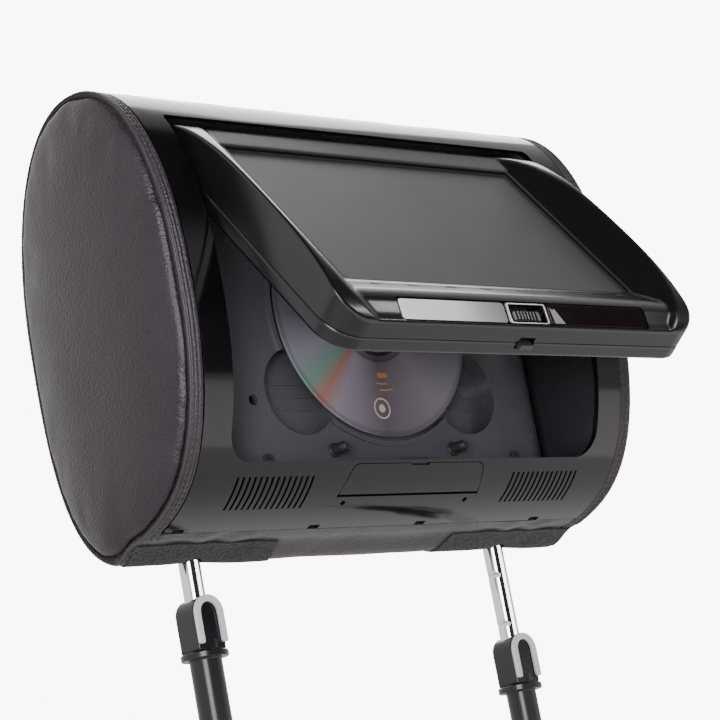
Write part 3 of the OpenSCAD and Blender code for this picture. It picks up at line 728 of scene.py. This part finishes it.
# %% Height rule of the bezel
SCREEN_X, SCREEN_H, SHELL = 114.5, 151, 8
DISPLAY_X, DISPLAY_TOP, DISPLAY_LOW = 92, 16.5, 121
BAR = ((0, 16.6), (1.5, 17.8), (15.6, 17.8), (17, 17), (120.5, 17), (123, 17.7), (127, 19.4),
       (133, 21.4), (137, 21.8), (140.6, 21.2), (149.5, 16.4), (151, 15.4))


def through(points, x):
    for (x0, y0), (x1, y1) in zip(points, points[1:]):
        if x <= x1:
            return y0 + (y1 - y0) * (x - x0) / (x1 - x0)
    return points[-1][1]


def eased(points, x, reach=1.1):
    """The broken line, smoothed over a short reach on each side."""
    places = (min(max(x + reach * k / 3, points[0][0]), points[-1][0]) for k in range(-3, 4))
    return sum(through(points, place) for place in places) / 7


def rim_height(s):
    return 8 + 21 * (1 - abs((s - 75.5) / 79) ** 2.4) ** (1 / 2.4)


def soft_max(a, b, r=1.0):
    gap = max(r - abs(a - b), 0) / r
    return max(a, b) + gap * gap * r / 4


def half_width(s):
    if s > SCREEN_H - 16:
        return SCREEN_X - 16 + math.sqrt(max(256 - (s - SCREEN_H + 16) ** 2, 0))
    if s < 4:
        return SCREEN_X - 4 + math.sqrt(max(16 - (4 - s) ** 2, 0))
    return SCREEN_X


def from_edge(x, s):
    """Distance in from the bezel's outline."""
    r = 16 if s > SCREEN_H / 2 else 4
    dx, ds = abs(x) - (SCREEN_X - r), abs(s - SCREEN_H / 2) - (SCREEN_H / 2 - r)
    return r - math.hypot(max(dx, 0), max(ds, 0)) if dx > 0 and ds > 0 else r - max(dx, ds)


def bezel_height(x, s):
    slope = 17 + max(abs(x) - 94, 0) / 1.48
    cheek = -soft_max(-slope, -rim_height(s), 2.2)
    h = soft_max(eased(BAR, s), cheek, 1.4)
    d = min(max(from_edge(x, s), 0), 1.4)
    return h - (1.4 - math.sqrt(max(1.96 - (1.4 - d) ** 2, 0)))


# %% Bezel
def steps_between(*spans):
    values = []
    for start, stop, count in spans:
        values += [start + (stop - start) * i / count for i in range(count)]
    return values + [spans[-1][1]]


inner = steps_between((0, 88, 11), (88, 96, 8), (96, 111, 13), (111, 113.1, 4), (113.1, 114.1, 4),
                      (114.1, 114.5, 4))
columns = [-x for x in reversed(inner[1:])] + inner
rows = steps_between((0, 0.5, 4), (0.5, 2.4, 4), (2.4, 14, 6), (14, 19, 6), (19, 118, 40),
                     (118, 149, 40), (149, 150.5, 5), (150.5, 151, 5))
clear()
bpy.ops.mesh.primitive_grid_add(x_subdivisions=len(columns) - 1, y_subdivisions=len(rows) - 1, size=1)
bezel = bpy.context.object
for vertex in bezel.data.vertices:
    i = round((vertex.co.x + 0.5) * (len(columns) - 1))
    j = round((0.5 - vertex.co.y) * (len(rows) - 1))
    x, s = columns[i], rows[j]
    hw = half_width(s)
    if abs(x) > 96:
        x = math.copysign(96 + (abs(x) - 96) * (hw - 96) / (SCREEN_X - 96), x)
    vertex.co = Vector((x, -s, bezel_height(x, s))) * MM
SHELL_Z = SHELL * MM


def to_parting_line():
    bpy.ops.mesh.region_to_loop()
    bpy.ops.mesh.extrude_region_move()
    bpy.ops.transform.resize(value=(1, 1, 0), center_override=(0, 0, SHELL_Z))
    bpy.ops.mesh.edge_face_add()


edit(bezel, to_parting_line, outwards)
bezel.data.transform(SCREEN)
window = rounded_box(-DISPLAY_X, DISPLAY_X, -DISPLAY_LOW, -DISPLAY_TOP, 4.5, 1.2, 8)
cut(bezel, plate(window, 7, 40, SCREEN))
STRIP_X, STRIP_H, LATCH_W = 79.5, 11, 27
half_strip, half_latch = STRIP_H / 2 + 0.5, STRIP_H / 2 + 0.2
recess = rounded_box(-STRIP_X - 0.5, STRIP_X + 0.5, -half_strip, half_strip, 2.5, steps=6)
well = rounded_box(-LATCH_W / 2 - 0.2, LATCH_W / 2 + 0.2, -half_latch, half_latch, 1.0, steps=4)
cut(bezel, plate(recess, -1.8, 10, STRIP), plate(well, -5.7, 10, STRIP),
    block(-5, 5, -160, -137, 7, 10.4, SCREEN), block(-2.8, 2.8, -144, -136.5, 7, 12.4, SCREEN))
rounded_edges(bezel, 0.35, 2, 42)
dressed(bezel, "screen_frame", "screen", "gloss_black", SATIN, "screen_bezel", angle=28)

# %% [markdown]
# The display sits a little below the bezel behind a matte film, and a thin dark gasket closes
# the gap round it. The back shell is a shallow tray with a round recess for the disc and two
# sockets for the pins, so that the screen can shut flush.

# %% Display and gasket
glass = plate(rounded_box(-91.6, 91.6, -120.6, -16.9, 4, 1, 8), 13.4, 15.8, SCREEN)
rounded_edges(glass, 0.3, 2, 40)
dressed(glass, "display_panel", "screen", "display", FILM, "screen_glass")
gasket = plate(rounded_box(-91.8, 91.8, -120.8, -16.7, 4.3, 1.1, 8), 15.7, 16.5, SCREEN)
cut(gasket, plate(rounded_box(-90.7, 90.7, -118.9, -18.3, 5, 1.4, 8), 15, 18, SCREEN))
rounded_edges(gasket, 0.2, 2, 40)
dressed(gasket, "display_gasket", "screen", "soft_black", RUBBER)

# %% Back shell
shell = plate(rounded_box(-114.5, 114.5, -151, 0, 16, 4, 12), 0, 8, SCREEN)
rounded_edges(shell, 2.0, 5, 60)
trim = plate(rounded_box(-120, 120, -160, 10, 16, 4), 7.9, 12, SCREEN)
cut(shell, trim)
lift = [drum(0, -80.5, 67, -3, 4.5, SCREEN, 160), drum(-PIN_X, -146.5, 4.0, -2, 7.8, SCREEN, 48),
        drum(PIN_X, -146.5, 4.0, -2, 7.8, SCREEN, 48), block(-6, 6, -160, -137, 4.4, 12, SCREEN)]
for x in (-104, 104):
    for s in (26, 138):
        lift.append(drum(x, -s, 2.9, -1, 2, SCREEN, 40))
cut(shell, *lift)
rounded_edges(shell, 0.4, 2, 42)
dressed(shell, "screen_tray", "screen", "satin_black", SATIN, "screen_back")

# %% [markdown]
# ## Control strip
# Along the bar's lower slope runs a strip of three pieces: a glossy trim, the release button
# in its frame and a dark window for the remote control. A row of small printed dashes above
# it marks the keys.

# %% Strip pieces
SILVER = moulded("silver_outline", (0.36, 0.37, 0.40), 0.22, 0.004, 0.05, 0.05, Metallic=0.7)
GREY_PRINT = moulded("grey_print", (0.20, 0.18, 0.20), 0.4, 0.004, 0.05, 0.2)
left_trim = plate(rounded_box(-79.2, -14, -5.2, 5.2, 2.0, steps=8), -1.8, 0.35, STRIP)
rounded_edges(left_trim, 0.35, 3, 40)
dressed(left_trim, "gloss_trim", "screen", "gloss_black", GLOSS, "gloss_strip")
window = plate(rounded_box(14, 79.2, -5.2, 5.2, 2.0, steps=8), -1.8, 0.3, STRIP)
rounded_edges(window, 0.35, 3, 40)
dressed(window, "remote_window", "screen", "gloss_black", IR_GLASS, "ir_window")
spot = plate([(23.0, -4.4), (19.8, 0.6), (18.2, 3.2), (17.0, 2.0), (15.4, 3.6), (16.2, -4.4)],
             0.26, 0.33, STRIP)
dressed(spot, "remote_window_eye", "screen", "gloss_black", GREY_PRINT, weighted=False)

bezel_ring = plate(rounded_box(-13.5, 13.5, -5.3, 5.3, 1.2, steps=5), -5.5, 0.4, STRIP)
cut(bezel_ring, plate(rounded_box(-11.2, 11.2, -4.3, 4.3, 0.8, steps=4), -4.4, 4, STRIP))
rounded_edges(bezel_ring, 0.3, 3, 40)
dressed(bezel_ring, "release_frame", "screen", "satin_black", GLOSS, "latch_frame")
line = plate(rounded_box(-12.4, 12.4, -5.0, 5.0, 1.1, steps=5), 0.2, 0.5, STRIP)
cut(line, plate(rounded_box(-11.6, 11.6, -4.45, 4.45, 0.8, steps=4), 0, 4, STRIP))
rounded_edges(line, 0.1, 2, 40)
dressed(line, "release_frame_line", "screen", "satin_black", SILVER)

button = plate(rounded_box(-9, 9, -3.3, 1.7, 0.9, steps=5), -4.3, -0.6, STRIP)
rounded_edges(button, 0.5, 3, 40)
grips = [block(x - 0.45, x + 0.45, -2.8, 1.2, -1.0, 0.1, STRIP) for x in (i * 2.0 for i in range(-3, 4))]
grips.append(block(-2, 2, -3.2, -1, -7, -4, STRIP))
cut(button, together("grips", grips), operation="UNION")
rounded_edges(button, 0.15, 2, 50)
dressed(button, "release_button", "latch", "satin_black", SATIN, "latch_button")

KEY_SLOPE = SCREEN @ shift(0, -125.4, bezel_height(0, 125.4)) @ turn_x(-0.36)
keys = []
for i in range(8):
    key = block(-79 + 22.57 * i - 2.7, -79 + 22.57 * i + 2.7, -1.1, 1.1, -0.4, 0.16, KEY_SLOPE)
    keys.append(rounded_edges(key, 0.12, 2, 40))
dressed(together("keys", keys), "key_dashes", "screen", "satin_black", MATTE, "key_marks", weighted=False)

# %% [markdown]
# ## Posts and guide sleeves
# Two chromed posts carry the headrest. The right one has locking notches. Each passes
# through a plastic guide, whose rounded head carries a pale metal clip with an open slot.

# %% Posts
POST_X = 98.5
for side, name in ((-1, "left"), (1, "right")):
    x = side * POST_X
    post = turned([(0, 0), (4.3, 0), (4.8, 0.5), (4.8, 24.9), (5, 25.1), (5, 209.4), (4.6, 210),
                   (0, 210)], ROW @ shift(x, 0, 0), 72)
    if side > 0:
        notches = []
        for z in (53, 78, 103, 128):
            wedge = [(x - 6, z), (x - 2.4, z), (x - 2.4, z + 1.6), (x - 6, z + 4.4)]
            notches.append(plate(wedge, -6, 6, ROW @ turn_x(math.pi / 2)))
        cut(post, together("notches", notches))
        rounded_edges(post, 0.2, 2, 35)
    dressed(post, f"chrome_post_{name}", "headrest", "chrome", CHROME, f"post_{name}")

# %% Sleeves and clips
for side, name, base in ((-1, "left", 61), (1, "right", 32)):
    at = ROW @ shift(side * POST_X, 0, base)
    guide = turned([(5.05, 0), (6.6, 0), (7.2, 0.8), (7.5, 2), (7.5, 37.2), (8, 38), (10.6, 38),
                    (11, 38.4), (11, 40.6), (10.6, 41), (8.4, 41.2), (7.6, 42), (7.6, 46), (5.05, 46)],
                   at, 64)
    head_shape = corner(0, 17, 8, 0, 180, 24) + [(-8, 0.6), (-7.2, 0), (7.2, 0), (8, 0.6)]
    head = plate(head_shape, -7, 7, at @ shift(0, 0, 41) @ turn_x(math.pi / 2))
    rounded_edges(head, 1.1, 4, 40)
    cut(guide, head, operation="UNION")
    cut(guide, drum(0, 0, 5.05, -1, 70, at), block(-3, 3, 3, 11, -1, 25, at))
    rounded_edges(guide, 0.3, 2, 40)
    dressed(guide, f"guide_{name}", f"sleeve_{name}", "satin_black", SATIN, f"guide_sleeve_{name}")
    clip_shape = corner(0, 17, 8.2, 0, 180, 28) + [(-8.2, 3.8), (-7.4, 3), (-5.8, 3), (-5, 3.8)]
    clip_shape += corner(0, 17, 5, 180, 0, 20) + [(5, 3.8), (5.8, 3), (7.4, 3), (8.2, 3.8)]
    clip = plate(clip_shape, 7.02, 9, at @ shift(0, 0, 41) @ turn_x(math.pi / 2))
    rounded_edges(clip, 0.5, 3, 40)
    dressed(clip, f"clip_plate_{name}", f"sleeve_{name}", "grey_plastic", GREY, f"guide_clip_{name}")

# %% [markdown]
# ## Leather cover
# The cover is leatherette sewn round foam. A wide band goes round the oval from seam to seam
# and has an opening for the plastic front, and a swelling cushion closes each side. The band
# is a tube whose rings follow the oval: near its ends they sink into the seams, rise over
# the piping and dip again along the stitching. The posts pull the leather in at the bottom.

# %% Cover band
FOLDS = ((0.0, -1.6), (0.5, -0.5), (1.0, 0.25), (1.7, 0.3), (2.3, -0.35), (2.6, -0.5), (3.1, -0.05),
         (4.0, 0.12), (4.6, -0.25), (4.9, -0.45), (5.3, -0.1), (6.2, 0.1), (6.9, -0.25), (7.2, -1.3))
stations = [SEAM_X - d for d, _ in FOLDS]
sinks = [h for _, h in FOLDS]
middle = steps_between((0, 128, 40), (128, 134.3, 4))[:-1]
widths = [-x for x in stations] + [-x for x in reversed(middle[1:])] + middle + stations[::-1]
sink_at = dict(zip(stations, sinks))
RING = 288
ring_points = oval_run(FRONT_TOP - 360, FRONT_TOP, RING + 1)[:-1]


def lumps(x, y, z):
    """Slow unevenness of leather over foam, in millimetres."""
    p = Vector((x, y, z))
    return 0.35 * noise.noise(p / 38) + 0.16 * noise.noise(p / 13)


def post_pull(x, y, z):
    """How far a point is drawn in near a post, with creases running away from it."""
    if z > -70:
        return 0.0
    pull = 0.0
    for post_x in (-POST_X, POST_X):
        dx, dy = x - post_x, y - 45
        d = math.hypot(dx, dy)
        folds = math.cos(7 * math.atan2(dy, dx) + 0.8) * math.exp(-((d - 26) / 14) ** 2) * 0.55
        pull += -1.6 * math.exp(-(d / 11) ** 2) + folds
    return pull


def normal_at(k):
    (ay, az), (by, bz) = ring_points[k - 1], ring_points[(k + 1) % RING]
    length = math.hypot(by - ay, bz - az)
    return (bz - az) / length, -(by - ay) / length


clear()
bpy.ops.mesh.primitive_grid_add(x_subdivisions=len(widths) - 1, y_subdivisions=RING, size=1)
band = bpy.context.object
for vertex in band.data.vertices:
    i = round((vertex.co.x + 0.5) * (len(widths) - 1))
    k = round((vertex.co.y + 0.5) * RING) % RING
    x = widths[i]
    y, z = ring_points[k]
    ny, nz = normal_at(k)
    out = sink_at.get(abs(x), 0.0)
    on_front = y < 5.6 and z > 0 or y < 17.6 and z <= 0
    if not on_front:
        out = max(out, -0.5) if abs(x) < SEAM_X - 5.5 else out
        out += post_pull(x, y, z)
    out += lumps(x, y, z)
    near = max(0.0, 1 - abs(abs(x) - 138.9) / 3)
    out += 0.07 * near * math.sin(k * 2.4)
    vertex.co = Vector((x, y + ny * out, z + nz * out)) * MM
band.data.transform(PLAYER)
apply(band, "WELD", merge_threshold=0.00001)
FRONT_HOLE_X = 134.4 * MM


def in_front(centre):
    y, z = centre.y / MM + 45, centre.z / MM - 250
    return abs(centre.x) < FRONT_HOLE_X and y < (5.3 if z > 50 else 17.3)


delete_faces(band, in_front)
edit(band, outwards)
apply(band, "SOLIDIFY", thickness=2.3 * MM, offset=-1, use_rim=True)
cut(band, drum(-POST_X, 0, 5.9, 130, 175, ROW, 48), drum(POST_X, 0, 5.9, 130, 175, ROW, 48))
dressed(band, "cover_band", "headrest", "leatherette", LEATHER, "cover_wrap", angle=60, weighted=False)

# %% [markdown]
# Each side cushion is blown up by a cloth simulation: a shallow dome is remeshed evenly, its
# inner edge is pinned where it is sewn, and pressure fills it as foam does. The point moves
# are capped, and the dome is trimmed where it meets the seam.

# %% Side cushion
def dome(start_x):
    """A shallow oval dome on the left, from start_x out to its crown."""
    rings = []
    for step in range(15):
        u = step / 14
        w = 1 - math.cos(u * math.pi / 2)
        rings.append((-(141.8 + 7.4 * math.sin(u * math.pi / 2) ** 0.9), -1.6 - 38 * w))
    rings.insert(0, (start_x, -1.6))
    clear()
    bpy.ops.mesh.primitive_circle_add(vertices=120, fill_type="NOTHING")
    obj = bpy.context.object
    outline = oval_run(0, 360, 121, rings[0][1])[:-1]
    for vertex, (y, z) in zip(obj.data.vertices, outline):
        vertex.co = Vector((rings[0][0], y, z)) * MM

    def grow():
        for _ in rings[1:]:
            bpy.ops.mesh.extrude_region_move()
    edit(obj, grow)
    count = len(outline)
    for n, (x, shrink) in enumerate(rings[1:], 1):
        for vertex, (y, z) in zip(list(obj.data.vertices)[n * count:(n + 1) * count],
                                  oval_run(0, 360, 121, shrink)[:-1]):
            vertex.co = Vector((x, y, z)) * MM
    edit(obj, lambda: bpy.ops.mesh.fill_holes(sides=0), outwards)
    return obj


cushion = dome(-122)
apply(cushion, "REMESH", mode="VOXEL", voxel_size=4.2 * MM, adaptivity=0)
apply(cushion, "SMOOTH", factor=0.5, iterations=4)
pinned = cushion.vertex_groups.new(name="pinned")
pinned.add([v.index for v in cushion.data.vertices if v.co.x > -143.5 * MM], 1.0, "REPLACE")
before = [v.co.copy() for v in cushion.data.vertices]
alone(cushion)
cloth = cushion.modifiers.new("cloth", "CLOTH")
cloth.settings.vertex_group_mass = "pinned"
cloth.settings.use_pressure = True
cloth.settings.uniform_pressure_force = 4
cloth.settings.effector_weights.gravity = 0
cloth.settings.tension_stiffness = 25
cloth.settings.quality = 6
for number in range(1, 21):
    bpy.context.scene.frame_set(number)
alone(cushion)
bpy.ops.object.modifier_apply(modifier="cloth")
bpy.context.scene.frame_set(1)
CAP = 4.0 * MM
for vertex, start in zip(cushion.data.vertices, before):
    move = vertex.co - start
    if move.length > CAP:
        vertex.co = start + move * (CAP / move.length)
apply(cushion, "SUBSURF", levels=1, render_levels=1)
alone(cushion)
bpy.ops.object.mode_set(mode="EDIT")
bpy.ops.mesh.select_all(action="SELECT")
bpy.ops.mesh.bisect(plane_co=(-141.8 * MM, 0, 0), plane_no=(1, 0, 0), use_fill=True, clear_outer=True)
bpy.ops.object.mode_set(mode="OBJECT")
for vertex in cushion.data.vertices:
    x, y, z = (value / MM for value in vertex.co)
    inward = Vector((0, OVAL_Y - y, OVAL_Z - z)).normalized()
    edge = max(0.0, 1 - (-141.8 - x) / 1.6) if x < -141.8 else 1.0
    uneven = Vector((-0.5 * lumps(x, y * 0.8, z * 0.8), 0, 0))
    vertex.co += inward * edge * 0.5 * MM + uneven * MM * (1 - edge)
print("the left cushion's crown is at X", round(min(v.co.x for v in cushion.data.vertices) / MM, 1))

# %% Both sides
for side, name in ((-1, "left"), (1, "right")):
    pad = cushion.copy()
    pad.data = cushion.data.copy()
    bpy.context.scene.collection.objects.link(pad)
    pad.vertex_groups.clear()
    if side > 0:
        pad.data.transform(Matrix.Scale(-1, 4, (1, 0, 0)))
        edit(pad, outwards)
    pad.data.transform(PLAYER)
    dressed(pad, f"side_cushion_{name}", "headrest", "leatherette", LEATHER, f"side_panel_{name}",
            angle=60, weighted=False)
bpy.data.objects.remove(cushion)

# %% [markdown]
# A thin piping of rolled leatherette runs in each side seam, and a double row of dark
# stitches follows it on the band. One stitch is modelled and copied along the oval.

# %% Piping
PIPE_R = 0.55
for side, name in ((-1, "left"), (1, "right")):
    line = oval_run(0, 360, 241, -0.35)[:-1]
    clear()
    bpy.ops.mesh.primitive_torus_add(major_segments=240, minor_segments=10, major_radius=1, minor_radius=0.1)
    pipe = bpy.context.object
    for n, vertex in enumerate(pipe.data.vertices):
        k, m = divmod(n, 10)
        (ay, az), (by, bz) = line[k - 1], line[(k + 1) % 240]
        length = math.hypot(by - ay, bz - az)
        ny, nz = (bz - az) / length, -(by - ay) / length
        a = math.tau * m / 10
        y, z = line[k]
        vertex.co = Vector((side * (SEAM_X - 0.15) + PIPE_R * math.sin(a), y + ny * PIPE_R * math.cos(a),
                            z + nz * PIPE_R * math.cos(a))) * MM
    edit(pipe, outwards)
    pipe.data.transform(PLAYER)
    dressed(pipe, f"seam_piping_{name}", "headrest", "leatherette", PIPING, weighted=False, angle=60)

# %% Stitches
STITCH_PITCH = 3.1
lengths = oval_run(0, 360, 1201)
total = sum(math.dist(a, b) for a, b in zip(lengths, lengths[1:]))
count = round(total / STITCH_PITCH)
for side, name in ((-1, "left"), (1, "right")):
    line = oval_run(0, 360, count * 2 + 1, -0.15)
    stitches = []
    clear()
    bpy.ops.mesh.primitive_uv_sphere_add(segments=8, ring_count=6, radius=1)
    model = bpy.context.object
    one = [v.co.copy() for v in model.data.vertices]
    faces = [tuple(p.vertices) for p in model.data.polygons]
    points, polygons = [], []
    for row_x in (136.45, 139.1):
        for n in range(count):
            (ay, az), (by, bz) = line[2 * n], line[2 * n + 1]
            along = Vector((0, by - ay, bz - az)).normalized()
            outward = Vector((0, along.z, -along.y))
            middle_point = Vector((side * row_x, (ay + by) / 2, (az + bz) / 2))
            base = len(points)
            for p in one:
                points.append((middle_point + along * p.z * 1.15 + outward * p.x * 0.24
                               + Vector((1, 0, 0)) * p.y * 0.27) * MM)
            polygons += [tuple(base + i for i in face) for face in faces]
    model.data.clear_geometry()
    model.data.from_pydata(points, [], polygons)
    edit(model, outwards)
    model.data.transform(PLAYER)
    dressed(model, f"stitch_rows_{name}", "headrest", "leatherette", THREAD, weighted=False, angle=60)

# %% [markdown]
# Round each post the underside carries a patch of looped tape, sewn on with one line of
# thread. It is a thin grid laid on the oval, just proud of the leather.

# %% Base patches
patches = []
for side in (-1, 1):
    xs = [side * 95 - 41.5 + 83 * i / 40 for i in range(41)]
    run = [p for p in oval_run(266, 345, 161, 0.35) if 28.2 <= p[0] <= 61.8]
    clear()
    bpy.ops.mesh.primitive_grid_add(x_subdivisions=40, y_subdivisions=len(run) - 1, size=1)
    patch = bpy.context.object
    for vertex in patch.data.vertices:
        i = round((vertex.co.x + 0.5) * 40)
        k = round((vertex.co.y + 0.5) * (len(run) - 1))
        y, z = run[k]
        skew = side * 0.35 * (y - 45)
        x = xs[i] - skew * 0.6
        rise = 0.45 * post_pull(x, y, z) + lumps(x, y, z) * 0.8
        vertex.co = Vector((x, y, z - max(rise, -1.2))) * MM
    patch.data.transform(PLAYER)
    edit(patch, outwards)
    apply(patch, "SOLIDIFY", thickness=0.9 * MM, offset=0)
    cut(patch, drum(side * POST_X, 0, 6, 130, 175, ROW, 40))
    patches.append(patch)
dressed(together("patches", patches), "loop_patches", "headrest", "loop_tape", LOOP, "base_patches", angle=50,
        weighted=False)

# %% [markdown]
# ## Working parts inside
# The parts behind the deck keep their own exact shapes. They only need the right finish:
# zinc steel for frames, screws and rods, lacquer for boards, rubber for the dampers. The deck
# screws, the latch hook and striker and the card door pins get dark paint instead, as painted shade.

# %% Finishes for the kept parts
KEPT = {
    "bright_steel": STEEL, "dark_steel": PAINTED, "foam": FOAM, "leatherette": LEATHER, "loop_tape": LOOP,
    "gloss_black": GLOSS, "satin_black": MATTE, "grey_plastic": GREY, "display": LENS, "disc_silver": DISC,
    "board_green": BOARD, "soft_black": RUBBER, "chrome": CHROME}
slot_of = {part["node"]: part["material_slot"] for part in frame["record"]["subparts"]}
# Painted shade: these steel parts get dark painted steel in place of their bright finish, so that they look
# dark as in shade.
DARKENED_AS_SHADE = ("deck_screws", "latch_hook", "latch_striker", "card_door_pins")
for node_name, obj in frame["nodes"].items():
    finish = PAINTED if node_name in DARKENED_AS_SHADE else KEPT[slot_of[node_name]]
    if obj.data.materials:
        for index in range(len(obj.data.materials)):
            obj.data.materials[index] = finish
    else:
        obj.data.materials.append(finish)
FLOOR_FINISH = new_finish("studio_floor", (0.86, 0.86, 0.86), 0.6)
tone = ramp(FLOOR_FINISH, noise_of(FLOOR_FINISH, 900, 2), (0.3, 0.85), (0.7, 0.88))
shader_input(FLOOR_FINISH, "Base Color", tone)
floor.data.materials.append(FLOOR_FINISH)

# %% [markdown]
# Three lamps are small cards that stand close to one thing each in a studio, so they light
# only that: the chromed posts, the leather, and the inside of the bay.


# %% Lamps for single parts
def lights_only(light, *pieces):
    lit = bpy.data.collections.new(light.name + "_lights")
    for piece in pieces:
        lit.objects.link(bpy.data.objects[piece])
    light.light_linking.receiver_collection = lit


SIDES = ("left", "right")
lights_only(card, *[f"chrome_post_{side}" for side in SIDES])
lights_only(rim_fill, "cover_band", "loop_patches",
            *[f"{part}_{side}" for part in ("side_cushion", "seam_piping", "stitch_rows") for side in SIDES])
lights_only(bay_fill, "bay_liner", "disc_deck", "ribbed_pins", "video_disc", "disc_hub")
